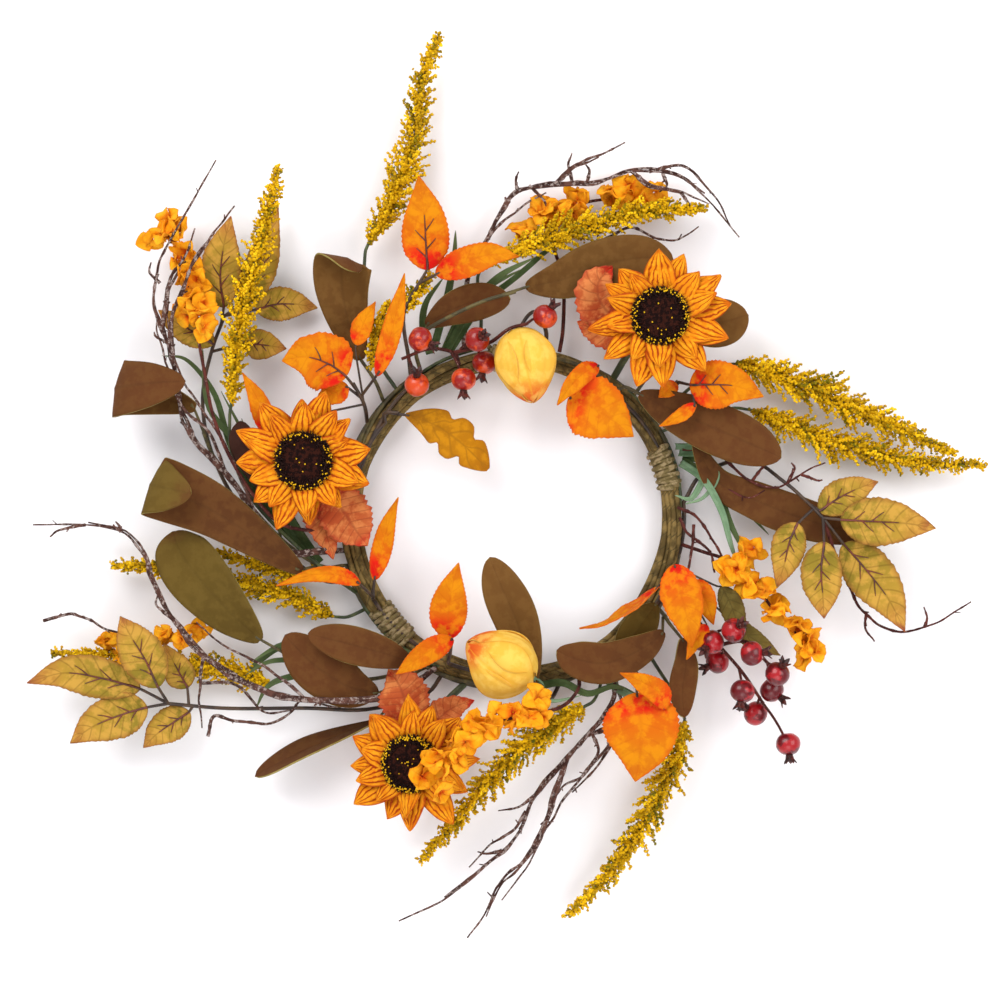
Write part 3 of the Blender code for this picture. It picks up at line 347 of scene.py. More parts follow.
# Each spray of small blossoms: its stalk, then the blossoms' centres
BLOSSOM_SPRAYS = {
    "blossom_spray_upper_left": {
        "root": 186, "stem": [(-112, -8, 26), (-136, -2, 36), (-158, 26, 37), (-172, 56, 36),
                              (-178, 84, 34),
                              (-182, 106, 34), (-184, 120, 30), (-188, 136, 26), (-194, 152, 23),
                              (-198, 164, 22)],
        "blossoms": [(-183, 121, 30), (-187, 136, 26), (-194, 152, 22), (-197, 167, 20)]},
    "blossom_spray_top": {
        "root": 74, "stem": [(30, 112, 7), (30, 140, 5), (24, 160, 4), (22, 174, 6), (40, 184, 7),
                             (66, 188, 7)],
        "blossoms": [(24, 177, 6), (40, 185, 7), (66, 190, 7)]},
    "blossom_spray_right": {
        "root": 351, "stem": [(112, -20, 14), (128, -26, 22), (142, -40, 26), (154, -56, 27),
                              (172, -74, 26)],
        "blossoms": [(130, -27, 22), (141, -40, 26), (152, -55, 27), (172, -74, 26)]},
    "blossom_spray_bottom": {
        "root": 293, "stem": [(38, -100, 30), (28, -108, 60), (8, -112, 76), (-10, -116, 78),
                              (-28, -127, 78),
                              (-42, -142, 78)],
        "blossoms": [(7, -111, 76), (-12, -117, 78), (-29, -127, 78), (-42, -142, 78)]},
}

OAK_LEAVES = {
    "oak_leaf": {
        "root": 143, "side": 100, "stem": [(-74, 61, 22), (-66, 61, 25)],
        "leaves": [((-70, 61, 23), [(-62, 60, 26), (-45, 54, 28), (-29, 43, 29), (-14, 28, 27)], 13)]},
}


# Finishes of the cloth leaves and petals: colours from base to tip, then the colour and strength of the
# mottling, of the edge and of the veins, and how many veins
CLOTH_KEYS = ("along", "mottle", "mottling", "edge", "edging", "vein", "vein_strength", "veins")
CLOTH_ROWS = {
    "orange_cloth": (
        [(0.0, "#c40a06"), (0.18, "#d41c08"), (0.34, "#cc5c02"), (0.7, "#ca7402"), (1.0, "#bd5c02")],
        "#dc8e02", 0.6, "#cc4a06", 0.45, "#b84e02", 0.22, 7),
    "orange_back": (
        [(0.0, "#c22a12"), (0.3, "#dd7210"), (1.0, "#e0801a")],
        "#ee9a3a", 0.35, "#cf5a10", 0.3, "#b85a10", 0.3, 7),
    "green_cloth": (
        [(0.0, "#75661e"), (0.3, "#8f7826"), (0.65, "#ae8830"), (0.86, "#b07834"), (1.0, "#8e4630")],
        "#cb9a42", 0.7, "#8a4a26", 0.5, "#5d4412", 0.4, 8),
    "green_back": (
        [(0.0, "#6b6126"), (1.0, "#8a7434")],
        "#9a8844", 0.35, "#8a5a30", 0.3, "#5d4a18", 0.3, 8),
    "suede_brown": (
        [(0.0, "#4d2c12"), (0.5, "#5a3416"), (1.0, "#5e3618")],
        "#6b4520", 0.4, "#6b4c20", 0.2, "#3c2410", 0.2, 0),
    "suede_umber": (
        [(0.0, "#563613"), (0.5, "#64431b"), (1.0, "#6a461e")],
        "#785428", 0.4, "#6f5026", 0.2, "#44290f", 0.2, 0),
    "suede_olive": (
        [(0.0, "#4f3c12"), (0.5, "#5c4818"), (0.86, "#604a1a"), (1.0, "#5e3a1a")],
        "#6e5824", 0.35, "#6c5626", 0.2, "#463410", 0.2, 0),
    # A darker copy of the suede: painted shade for a leaf that lies in shade.
    "suede_in_shade": (
        [(0.0, "#301710"), (1.0, "#3c221a")],
        "#46291e", 0.35, "#4d3226", 0.2, "#21100c", 0.2, 0),
    "rust_cloth": (
        [(0.0, "#a8301a"), (0.3, "#b24a24"), (0.72, "#c06434"), (0.88, "#b8301c"), (1.0, "#c01014")],
        "#dd8a4c", 0.75, "#b23a2a", 0.5, "#8d3a22", 0.5, 9),
    "oak_cloth": (
        [(0.0, "#724404"), (0.25, "#9c6404"), (0.8, "#b07002"), (1.0, "#945602")],
        "#d08c0c", 0.5, "#935606", 0.5, "#8f5c08", 0.6, 5),
    "blossom_cloth": (
        [(0.0, "#c4360a"), (0.14, "#dc6c08"), (0.36, "#ec980c"), (1.0, "#eea010")],
        "#f8ba2a", 0.55, "#dd7406", 0.35, "#e07808", 0.3, 0),
    "lantern_cloth": (
        [(0.0, "#dfb040"), (0.4, "#e8b644"), (0.72, "#e6b03e"), (0.86, "#dd6c22"), (1.0, "#cc240a")],
        "#f2cc62", 0.55, "#dc9626", 0.4, "#dfa32c", 0.5, 0),
    "grass_cloth": (
        [(0.0, "#3a4a26"), (0.6, "#4b5c36"), (1.0, "#646e46")],
        "#5f7248", 0.4, "#4f5c40", 0.3, "#3a4628", 0.4, 0),
    "sage_cloth": (
        [(0.0, "#56704f"), (0.6, "#6f8c6a"), (1.0, "#86a07c")],
        "#8aa384", 0.4, "#5c7654", 0.3, "#4c6248", 0.4, 0),
    "olive_leaf_cloth": (
        [(0.0, "#4f4520"), (0.6, "#6b5a26"), (1.0, "#7a5a2c")],
        "#83743a", 0.4, "#5c3f20", 0.4, "#3f3618", 0.4, 6),
}
CLOTHS = {name: dict(zip(CLOTH_KEYS, row)) for name, row in CLOTH_ROWS.items()}

# Shapes of the leaves and petals. Heights and thickness are millimetres; teeth is how many stand on each
# edge.
SHAPES = {
    "magnolia": {"across": 14, "steps": 9, "cup": 0.12, "ripple": 0.5, "ripples": 1.3, "crease": 0.35,
                 "vein": 0.0, "veins": 0, "crumple": 0.5, "thickness": 1.0},
    "orange": {"across": 18, "steps": 15, "cup": 0.12, "ripple": 0.7, "ripples": 2.2, "crease": 0.5,
               "vein": 0.32, "veins": 7, "crumple": 1.1, "thickness": 0.55, "teeth": 19, "tooth": 0.09},
    "green": {"across": 14, "steps": 15, "cup": 0.12, "ripple": 0.7, "ripples": 2.0, "crease": 0.4,
              "vein": 0.35, "veins": 8, "crumple": 1.2, "thickness": 0.5, "teeth": 22, "tooth": 0.08},
    "rust": {"across": 16, "steps": 12, "cup": 0.10, "ripple": 1.2, "ripples": 3.2, "crease": 0.5,
             "vein": 0.5, "veins": 9, "crumple": 2.2, "thickness": 0.5, "teeth": 12, "tooth": 0.20},
    "oak": {"across": 16, "steps": 16, "cup": 0.12, "ripple": 0.9, "ripples": 2.5, "crease": 0.5,
            "vein": 0.25, "veins": 5, "crumple": 0.6, "thickness": 0.6, "teeth": 4, "tooth": 0.0},
    "petal": {"across": 20, "steps": 5, "cup": -0.26, "ripple": 1.1, "ripples": 1.3, "crease": 0.0,
              "vein": 0.0, "veins": 0, "crumple": 1.8, "thickness": 0.5, "ridge": 1.7},
    "floret": {"across": 8, "steps": 4, "cup": 0.16, "ripple": 1.2, "ripples": 1.4, "crease": 0.35,
               "vein": 0.0, "veins": 0, "crumple": 1.5, "thickness": 0.35, "teeth": 5, "tooth": 0.18},
    "sepal": {"across": 4, "steps": 3, "cup": 0.35, "ripple": 0.0, "ripples": 1.0, "crease": 0.1,
              "vein": 0.0, "veins": 0, "crumple": 0.1, "thickness": 0.45},
    "grass": {"across": 4, "steps": 8, "cup": 0.35, "ripple": 0.1, "ripples": 1.0, "crease": 0.1,
              "vein": 0.0, "veins": 0, "crumple": 0.1, "thickness": 0.45},
}


# Lines and places

def place(spot):
    """A place on the wreath, in metres."""
    right, up, forward = spot
    return RING_CENTRE + Vector((right, RING_FORWARD - forward, up)) * MM


def on_ring(degrees):
    """The ring's centreline at an angle, and the way out from the ring's centre there."""
    turn = math.radians(degrees)
    out = Vector((math.cos(turn), 0, math.sin(turn)))
    return RING_CENTRE + out * (RING_RADIUS * MM), out


def root_of(pick, radius):
    """Where a stem of this radius leaves the ring's bundle."""
    centre, out = on_ring(pick["root"])
    turn = math.radians(pick.get("side", 0))
    away = out * math.cos(turn) + TOWARDS_VIEWER * math.sin(turn)
    return centre + away * ((BUNDLE_RADIUS + 0.5 * radius) * MM)


def smooth(points, steps):
    """Points on a smooth line through the given ones, with so many steps from each to the next."""
    padded = [2 * points[0] - points[1], *points, 2 * points[-1] - points[-2]]
    line = []
    for before, start, end, after in zip(padded, padded[1:], padded[2:], padded[3:]):
        for step in range(steps):
            t = step / steps
            line.append(0.5 * (2 * start + (end - before) * t
                               + (2 * before - 5 * start + 4 * end - after) * t * t
                               + (3 * start - before - 3 * end + after) * t ** 3))
    return [*line, points[-1]]


def frames(line, side):
    """The side and the front at each point of a line, carried along without twisting."""
    sides, fronts = [], []
    for i in range(len(line)):
        tangent = (line[min(i + 1, len(line) - 1)] - line[max(i - 1, 0)]).normalized()
        side = (side - tangent * side.dot(tangent)).normalized()
        sides.append(side)
        fronts.append(side.cross(tangent))
    return sides, fronts


def between(values, share):
    """Rows of values read at shares from 0 to 1 of the way along them."""
    at = np.clip(share, 0, 1) * (len(values) - 1)
    low = np.minimum(at.astype(int), len(values) - 2)
    part = (at - low)[:, None]
    return values[low] * (1 - part) + values[low + 1] * part


# Outlines: how wide a leaf is at each share of its length

def oval_outline(share):
    return 0.12 * (1 - share) ** 4 + np.sin(np.pi * share ** 1.25) ** 0.55


def pointed_outline(share):
    return 0.07 * (1 - share) + 0.97 * np.sin(np.pi * share ** 0.75) ** 0.85 * (1 - 0.25 * share ** 6)


def lobed_outline(share):
    body = 0.08 + 0.92 * np.sin(np.pi * share ** 1.25) ** 0.8
    first_bay = 0.34 * np.exp(-((share - 0.46) / 0.05) ** 2)
    second_bay = 0.42 * np.exp(-((share - 0.72) / 0.045) ** 2)
    return body * (1 - first_bay - second_bay)


def petal_outline(share):
    return 0.40 * (1 - share) ** 2 + np.sin(np.pi * share ** 0.98) ** 0.72 * (1 - 0.3 * share ** 5)


def ribbon_outline(share):
    return (1 - share ** 3) ** 0.8


OUTLINES = {
    "magnolia": oval_outline, "orange": pointed_outline, "green": pointed_outline, "rust": pointed_outline,
    "oak": lobed_outline, "petal": petal_outline, "floret": petal_outline, "sepal": ribbon_outline,
    "grass": ribbon_outline,
}


# Making pieces

def deselect():
    bpy.ops.object.select_all(action="DESELECT")


def choose(*pieces):
    deselect()
    for piece in pieces:
        piece.select_set(True)
    bpy.context.view_layer.objects.active = pieces[0]


def named(name):
    made = bpy.context.active_object
    made.name = made.data.name = name
    return made


def wear(piece, *materials):
    piece.data.materials.clear()
    for material in materials:
        piece.data.materials.append(material)


def points_of(piece):
    points = np.empty(len(piece.data.vertices) * 3, np.float32)
    piece.data.vertices.foreach_get("co", points)
    return points.reshape(-1, 3).astype(float)


def move_points(piece, points):
    piece.data.vertices.foreach_set("co", np.ascontiguousarray(points, np.float32).ravel())
    piece.data.update()


def set_map(piece, across, along):
    """The piece's UV map, from a value of each across and along at every vertex."""
    corners = np.empty(len(piece.data.loops), np.int32)
    piece.data.loops.foreach_get("vertex_index", corners)
    spots = np.stack([across[corners], along[corners]], 1)
    piece.data.uv_layers[0].data.foreach_set("uv", spots.astype(np.float32).ravel())


def finish_modifier(piece, kind, **settings):
    choose(piece)
    bpy.ops.object.modifier_add(type=kind)
    modifier = piece.modifiers[-1]
    for name, value in settings.items():
        setattr(modifier, name, value)
    bpy.ops.object.modifier_apply(modifier=modifier.name)


def smooth_shading(piece):
    choose(piece)
    bpy.ops.object.shade_smooth()


def join(name, pieces):
    choose(*pieces)
    if len(pieces) > 1:
        bpy.ops.object.join()
    return named(name)


def crumples(across, along, seed):
    """Smooth noise at every place of a sheet."""
    return np.array([noise.noise(Vector((a, s, seed))) for a, s in zip(across, along)])


def lay_of(line, half_width, kind, rolls=(0, 0), seed=0, side=None):
    """A function that gives places and fronts on a leaf, at shares across (-1 to 1) and along (0 to 1) it."""
    shape = SHAPES[kind]
    sides, fronts = frames(line, side or (line[1] - line[0]).cross(TOWARDS_VIEWER))
    for i in range(len(line)):
        share = i / (len(line) - 1)
        roll = math.radians(rolls[0] + (rolls[1] - rolls[0]) * share)
        tangent = fronts[i].cross(sides[i])
        turned = Quaternion(tangent, roll)
        sides[i], fronts[i] = turned @ sides[i], turned @ fronts[i]
    middle, side_rows, front_rows = (np.array([tuple(v) for v in rows]) for rows in (line, sides, fronts))
    phase = seed * 1.7

    def lay(across, along):
        edge = np.abs(across)
        outline = np.maximum(OUTLINES[kind](np.clip(along, 0, 1)), 0.0)
        reach = half_width * outline
        if shape.get("teeth"):
            saw = (along * shape["teeth"] + 0.15 * np.sin(phase + along * 9)) % 1.0
            reach = reach * (1 + shape["tooth"] * (saw - 0.55) * edge ** 5)
        height = reach * shape["cup"] * edge ** 1.4
        height -= shape["crease"] * np.exp(-(edge / 0.09) ** 2) * np.sin(np.pi * along)
        if shape["veins"]:
            vein = (along * shape["veins"] - edge * VEIN_SLANT) % 1.0
            furrow = np.exp(-((vein - 0.5) / 0.16) ** 2) * (edge > 0.06)
            height -= shape["vein"] * furrow * np.sin(np.pi * along)
        if shape.get("ridge"):
            bent = across + 0.09 * np.sin(along * 5 + phase)
            ridges = np.abs(np.cos(np.pi * PETAL_RIDGES * bent)) ** 0.9
            height += shape["ridge"] * ridges * np.sin(np.pi * along ** 0.8) ** 0.7
        wave = np.sin(2 * np.pi * along * shape["ripples"] + phase + across)
        height += shape["ripple"] * wave * edge ** 2 * outline
        crumple = crumples(across * 1.3, along * 3.1, seed * 3.3)
        height += shape["crumple"] * crumple * (0.4 + 0.6 * edge)
        where = between(middle, along)
        places = where + between(side_rows, along) * (across * reach * MM)[:, None]
        front = between(front_rows, along)
        return places + front * (height * MM)[:, None], front

    return lay


def blade(name, lay, kind, rows, materials):
    """A leaf or petal: a grid laid on its surface, then given its thickness.

    The materials are those of its front, its back and its rim.
    """
    deselect()
    shape = SHAPES[kind]
    bpy.ops.mesh.primitive_grid_add(x_subdivisions=shape["across"], y_subdivisions=rows, size=2)
    piece = named(name)
    flat = points_of(piece)
    across = flat[:, 0]
    step = (flat[:, 1] + 1) / 2
    along = step * 0.55 + 0.45 * (0.5 - 0.5 * np.cos(np.pi * step))
    move_points(piece, lay(across, along)[0])
    set_map(piece, (across + 1) / 2, along)
    wear(piece, *materials)
    finish_modifier(piece, "SOLIDIFY", thickness=shape["thickness"] * MM, offset=0, material_offset=1,
                    material_offset_rim=2)
    smooth_shading(piece)
    return piece


def rods(name, routes, material, resolution=1):
    """Round stems along routes, each a list of places with a radius in millimetres at each."""
    curve = bpy.data.curves.new(name, "CURVE")
    curve.dimensions = "3D"
    curve.bevel_depth = MM
    curve.bevel_resolution = resolution
    curve.use_fill_caps = True
    for route in routes:
        spline = curve.splines.new("POLY")
        spline.points.add(len(route) - 1)
        for point, (spot, radius) in zip(spline.points, route):
            point.co = (*spot, 1)
            point.radius = radius
    made = bpy.data.objects.new(name, curve)
    bpy.context.scene.collection.objects.link(made)
    choose(made)
    bpy.ops.object.convert(target="MESH")
    made = named(name)
    wear(made, material)
    smooth_shading(made)
    return made


def tapered(line, first, last):
    """A route along a line whose radius goes evenly from first to last."""
    return [(spot, first + (last - first) * i / (len(line) - 1)) for i, spot in enumerate(line)]


def scatter(name, pattern, spots, turns, tones, material):
    """Copies of one small shape, each at its spot with its own turn, size and tone, as one piece."""
    shape = points_of(pattern)
    faces = np.array([tuple(face.vertices) for face in pattern.data.polygons])
    count = len(shape)
    points = np.einsum("nij,vj->nvi", np.asarray(turns), shape) + np.asarray(spots)[:, None, :]
    points = points.reshape(-1, 3)
    every = (faces[None] + (np.arange(len(spots)) * count)[:, None, None]).reshape(-1, faces.shape[1])
    mesh = bpy.data.meshes.new(name)
    mesh.from_pydata(points.tolist(), [], every.tolist())
    tone = mesh.attributes.new("tone", "FLOAT", "POINT")
    tone.data.foreach_set("value", np.repeat(np.asarray(tones, np.float32), count))
    made = bpy.data.objects.new(name, mesh)
    bpy.context.scene.collection.objects.link(made)
    wear(made, material)
    smooth_shading(made)
    return made


def turn_to(direction, length, width):
    """A turn that stands a shape of unit size up along a direction, with its own length and width."""
    up = Vector(direction).normalized()
    first = up.orthogonal().normalized()
    second = up.cross(first)
    return np.array([tuple(first * width), tuple(second * width), tuple(up * length)]).T


def pattern_of(add, **settings):
    """A small shape to copy, at the origin."""
    deselect()
    add(**settings)
    return bpy.context.active_object


# Finishes

CLOTH_SHINE = 0.14


def paint(code):
    """A colour written as #rrggbb, in the linear values that the shaders use."""
    levels = [int(code[i:i + 2], 16) / 255 for i in (1, 3, 5)]
    return [*(level / 12.92 if level <= 0.04045 else ((level + 0.055) / 1.055) ** 2.4 for level in levels),
            1.0]


def add(tree, kind, links=None, **settings):
    """A shader node, with its settings, and its sockets linked or set."""
    made = tree.nodes.new("ShaderNode" + kind)
    for name, value in settings.items():
        setattr(made, name, value)
    for socket, value in (links or {}).items():
        if isinstance(value, bpy.types.NodeSocket):
            tree.links.new(value, made.inputs[socket])
        else:
            made.inputs[socket].default_value = value
    return made


def maths(tree, operation, *values):
    made = add(tree, "Math", dict(enumerate(values)), operation=operation)
    return made.outputs[0]


def times(tree, first, second):
    return maths(tree, "MULTIPLY", first, second)


def noise_at(tree, spot, scale, detail):
    """Noise over the piece, as a value round 0.5."""
    return add(tree, "TexNoise", {"Vector": spot, "Scale": scale, "Detail": detail}).outputs["Fac"]


def ramp(tree, factor, stops):
    made = add(tree, "ValToRGB", {"Fac": factor})
    elements = made.color_ramp.elements
    for element, (position, colour) in ((elements[0], stops[0]), (elements[1], stops[-1])):
        element.position, element.color = position, paint(colour)
    for position, colour in stops[1:-1]:
        elements.new(position).color = paint(colour)
    return made.outputs["Color"]


def mix(tree, factor, first, second):
    made = add(tree, "Mix", {0: factor, 6: first, 7: second}, data_type="RGBA")
    return made.outputs[2]


def band(tree, value, low, high):
    """0 under low and 1 over high, smooth between."""
    made = add(tree, "MapRange", {"Value": value, "From Min": low, "From Max": high},
               interpolation_type="SMOOTHSTEP")
    return made.outputs["Result"]


def group(name, inputs, outputs):
    """An empty node group, with its input and output nodes."""
    tree = bpy.data.node_groups.new(name, "ShaderNodeTree")
    for socket, kind, value in inputs:
        made = tree.interface.new_socket(socket, in_out="INPUT", socket_type="NodeSocket" + kind)
        if value is not None:
            made.default_value = value
    for socket, kind in outputs:
        tree.interface.new_socket(socket, in_out="OUTPUT", socket_type="NodeSocket" + kind)
    return tree, tree.nodes.new("NodeGroupInput"), tree.nodes.new("NodeGroupOutput")


def mottle_group():
    """Soft patches of colour: 1 inside the patches, 0 between them."""
    tree, given, out = group("mottle", [("Vector", "Vector", None), ("Scale", "Float", 60.0),
                                        ("Sharpness", "Float", 0.5)], [("Mask", "Float")])
    patches = add(tree, "TexNoise", {"Vector": given.outputs["Vector"], "Scale": given.outputs["Scale"],
                                     "Detail": 5.0, "Roughness": 0.6})
    low = times(tree, given.outputs["Sharpness"], 0.3)
    start = maths(tree, "ADD", low, 0.30)
    end = maths(tree, "SUBTRACT", 0.72, low)
    tree.links.new(band(tree, patches.outputs["Fac"], start, end), out.inputs["Mask"])
    return tree


def leaf_marks_group():
    """A leaf's veins and its edge, read from its map: U across and V along."""
    inputs = [("Map", "Vector", None), ("Veins", "Float", 7.0), ("Width", "Float", 0.12)]
    tree, given, out = group("leaf_marks", inputs, [("Veins", "Float"), ("Edge", "Float")])
    parts = add(tree, "SeparateXYZ", {"Vector": given.outputs["Map"]})
    centred = maths(tree, "SUBTRACT", parts.outputs["X"], 0.5)
    edge = times(tree, maths(tree, "ABSOLUTE", centred), 2.0)
    count = times(tree, parts.outputs["Y"], given.outputs["Veins"])
    slanted = maths(tree, "FRACT", maths(tree, "SUBTRACT", count, times(tree, edge, VEIN_SLANT)))
    away = maths(tree, "ABSOLUTE", maths(tree, "SUBTRACT", slanted, 0.5))
    side_veins = maths(tree, "SUBTRACT", 1.0, band(tree, away, 0.0, given.outputs["Width"]))
    side_veins = times(tree, side_veins, maths(tree, "GREATER_THAN", given.outputs["Veins"], 0.5))
    midrib = maths(tree, "SUBTRACT", 1.0, band(tree, edge, 0.0, 0.10))
    tree.links.new(maths(tree, "MAXIMUM", side_veins, midrib), out.inputs["Veins"])
    tree.links.new(band(tree, edge, 0.72, 1.0), out.inputs["Edge"])
    return tree


def cloth_grain_group():
    """The height of a fine weave with stray fibres."""
    tree, given, out = group("cloth_grain", [("Vector", "Vector", None), ("Scale", "Float", 1500.0),
                                             ("Fibres", "Float", 0.5)], [("Height", "Float")])
    settings = {"Vector": given.outputs["Vector"], "Scale": given.outputs["Scale"], "Distortion": 2.0}
    warp, weft = (add(tree, "TexWave", settings, bands_direction=way).outputs["Fac"] for way in "XZ")
    fibres = noise_at(tree, given.outputs["Vector"], 900.0, 6.0)
    height = maths(tree, "MULTIPLY_ADD", fibres, given.outputs["Fibres"], times(tree, warp, weft))
    tree.links.new(height, out.inputs["Height"])
    return tree


def flecks_group():
    """Small pale flecks along bark: 1 on a fleck."""
    tree, given, out = group("flecks", [("Vector", "Vector", None), ("Scale", "Float", 500.0),
                                        ("Amount", "Float", 0.3)], [("Mask", "Float"), ("Height", "Float")])
    crumbs = add(tree, "TexNoise", {"Vector": given.outputs["Vector"], "Scale": given.outputs["Scale"],
                                    "Detail": 3.0, "Roughness": 0.7})
    start = maths(tree, "SUBTRACT", 0.80, given.outputs["Amount"])
    end = maths(tree, "ADD", start, 0.05)
    tree.links.new(band(tree, crumbs.outputs["Fac"], start, end), out.inputs["Mask"])
    tree.links.new(crumbs.outputs["Fac"], out.inputs["Height"])
    return tree


GROUPS = {"mottle": mottle_group(), "leaf_marks": leaf_marks_group(), "cloth_grain": cloth_grain_group(),
          "flecks": flecks_group()}


def use(tree, name, **inputs):
    """One of the shared groups, placed in a material with its own values."""
    return add(tree, "Group", inputs, node_tree=GROUPS[name])


def bare_material(name, shine=0.5):
    """A material with only its Principled shader and output. Returns it, its tree and the shader."""
    made = bpy.data.materials.new(name)
    made.use_nodes = True
    tree = made.node_tree
    shader = tree.nodes["Principled BSDF"]
    shader.inputs["Specular IOR Level"].default_value = shine
    return made, tree, shader


def dress(tree, shader, colour, roughness, height=None, strength=1.0, distance=0.0):
    """Gives the shader its colour, its roughness and, with a height, a relief of so many metres."""
    tree.links.new(colour, shader.inputs["Base Color"])
    shader.inputs["Roughness"].default_value = roughness
    if height:
        bump = add(tree, "Bump", {"Height": height, "Strength": strength, "Distance": distance})
        tree.links.new(bump.outputs["Normal"], shader.inputs["Normal"])


def patchy_material(name, shine, dark, light, scale, sharpness):
    """A material of two colours in soft patches: it, its tree, its shader, the place and the colour."""
    made, tree, shader = bare_material(name, shine)
    spot = add(tree, "TexCoord").outputs["Object"]
    patches = use(tree, "mottle", Vector=spot, Scale=scale, Sharpness=sharpness)
    return made, tree, shader, spot, mix(tree, patches.outputs["Mask"], paint(dark), paint(light))


def leaf_cloth(name, finish):
    """Printed cloth whose colour runs from base to tip, with veins, patches and a darker edge."""
    made, tree, shader = bare_material(name, CLOTH_SHINE)
    leaf_map = add(tree, "UVMap", uv_map="UVMap").outputs["UV"]
    spot = add(tree, "TexCoord").outputs["Object"]
    along = add(tree, "SeparateXYZ", {"Vector": leaf_map}).outputs["Y"]
    drift = maths(tree, "SUBTRACT", noise_at(tree, spot, 90.0, 3.0), 0.5)
    colour = ramp(tree, maths(tree, "ADD", along, times(tree, drift, 0.22)), finish["along"])
    marks = use(tree, "leaf_marks", Map=leaf_map, Veins=float(finish["veins"]), Width=0.13).outputs
    patches = use(tree, "mottle", Vector=spot, Scale=140.0, Sharpness=0.4)
    for mask, amount, tint in ((patches.outputs["Mask"], "mottling", "mottle"),
                               (marks["Edge"], "edging", "edge"),
                               (marks["Veins"], "vein_strength", "vein")):
        colour = mix(tree, times(tree, mask, finish[amount]), colour, paint(finish[tint]))
    grain = use(tree, "cloth_grain", Vector=spot, Scale=1300.0, Fibres=0.8)
    height = maths(tree, "SUBTRACT", grain.outputs["Height"], times(tree, marks["Veins"], 1.2))
    dress(tree, shader, colour, 0.78, height, 0.35, 0.0003)
    return made


def petal_cloth():
    """Golden cloth with rust streaks in its folds, deepest at the root and reaching the edges. The streaks
    are partly painted shade in the grooves between the ridges, and a broad darkening of the folds away from
    the ridge tops is painted shade.
    """
    made, tree, shader = bare_material("petal_cloth", CLOTH_SHINE)
    petal_map = add(tree, "UVMap", uv_map="UVMap").outputs["UV"]
    spot = add(tree, "TexCoord").outputs["Object"]
    parts = add(tree, "SeparateXYZ", {"Vector": petal_map})
    across = maths(tree, "SUBTRACT", times(tree, parts.outputs["X"], 2.0), 1.0)
    wander = maths(tree, "SUBTRACT", noise_at(tree, spot, 260.0, 3.0), 0.5)
    shifted = maths(tree, "ADD", across, times(tree, wander, 0.42))
    fold = maths(tree, "ABSOLUTE", maths(tree, "COSINE", times(tree, shifted, PETAL_RIDGES * math.pi)))
    groove = maths(tree, "SUBTRACT", 1.0, band(tree, maths(tree, "POWER", fold, 1.1), 0.1, 0.7))
    colour = ramp(tree, parts.outputs["Y"], [(0.0, "#6a2404"), (0.2, "#b85606"), (0.45, "#df8208"),
                                             (0.8, "#e08608"), (1.0, "#c45804")])
    patches = use(tree, "mottle", Vector=spot, Scale=220.0, Sharpness=0.5)
    fade = band(tree, parts.outputs["Y"], 1.15, 0.80)
    # Painted shade: the folds darken broadly away from the ridge tops.
    fold_shade = times(tree, band(tree, fold, 1.0, 0.1), fade)
    broken = band(tree, noise_at(tree, spot, 95.0, 2.0), 0.28, 0.52)
    # Rust streaks in the grooves, partly painted shade where the grooves lie between the ridges.
    streaks_and_groove_shade = times(tree, times(tree, groove, fade), broken)
    rim = band(tree, maths(tree, "ABSOLUTE", across), 0.78, 1.0)
    # Over the base colour in turn: mottled patches, the painted fold shade, the rust streaks with their
    # painted groove shade, and the rust rim.
    for mask, amount, tint in ((patches.outputs["Mask"], 0.6, "#f0a61c"), (fold_shade, 0.45, "#c05004"),
                               (streaks_and_groove_shade, 1.0, "#9c3603"), (rim, 0.8, "#b04406")):
        colour = mix(tree, times(tree, mask, amount), colour, paint(tint))
    grain = use(tree, "cloth_grain", Vector=spot, Scale=1300.0, Fibres=1.0)
    dress(tree, shader, colour, 0.75, grain.outputs["Height"], 0.3, 0.0003)
    return made


def plain_cloth(name, dark, light):
    """Cut edges and backs: one colour with soft patches of another."""
    made, tree, shader, spot, colour = patchy_material(name, CLOTH_SHINE, dark, light, 200.0, 0.3)
    grain = use(tree, "cloth_grain", Vector=spot, Scale=1500.0, Fibres=0.8)
    dress(tree, shader, colour, 0.75, grain.outputs["Height"], 0.3, 0.0003)
    return made


def stem_plastic(name, dark, light, roughness=0.5, scale=120.0):
    """Moulded stems: a streaky plastic with fine grain."""
    made, tree, shader, spot, colour = patchy_material(name, 0.5, dark, light, scale, 0.5)
    dress(tree, shader, colour, roughness, noise_at(tree, spot, 700.0, 4.0), 0.4, 0.0004)
    return made


def bark(name, dark, light, fleck, amount):
    """Twig bark with pale flecks."""
    made, tree, shader, spot, colour = patchy_material(name, 0.25, dark, light, 160.0, 0.4)
    crumbs = use(tree, "flecks", Vector=spot, Scale=420.0, Amount=amount)
    colour = mix(tree, crumbs.outputs["Mask"], colour, paint(fleck))
    dress(tree, shader, colour, 0.85, crumbs.outputs["Height"], 0.8, 0.0008)
    return made


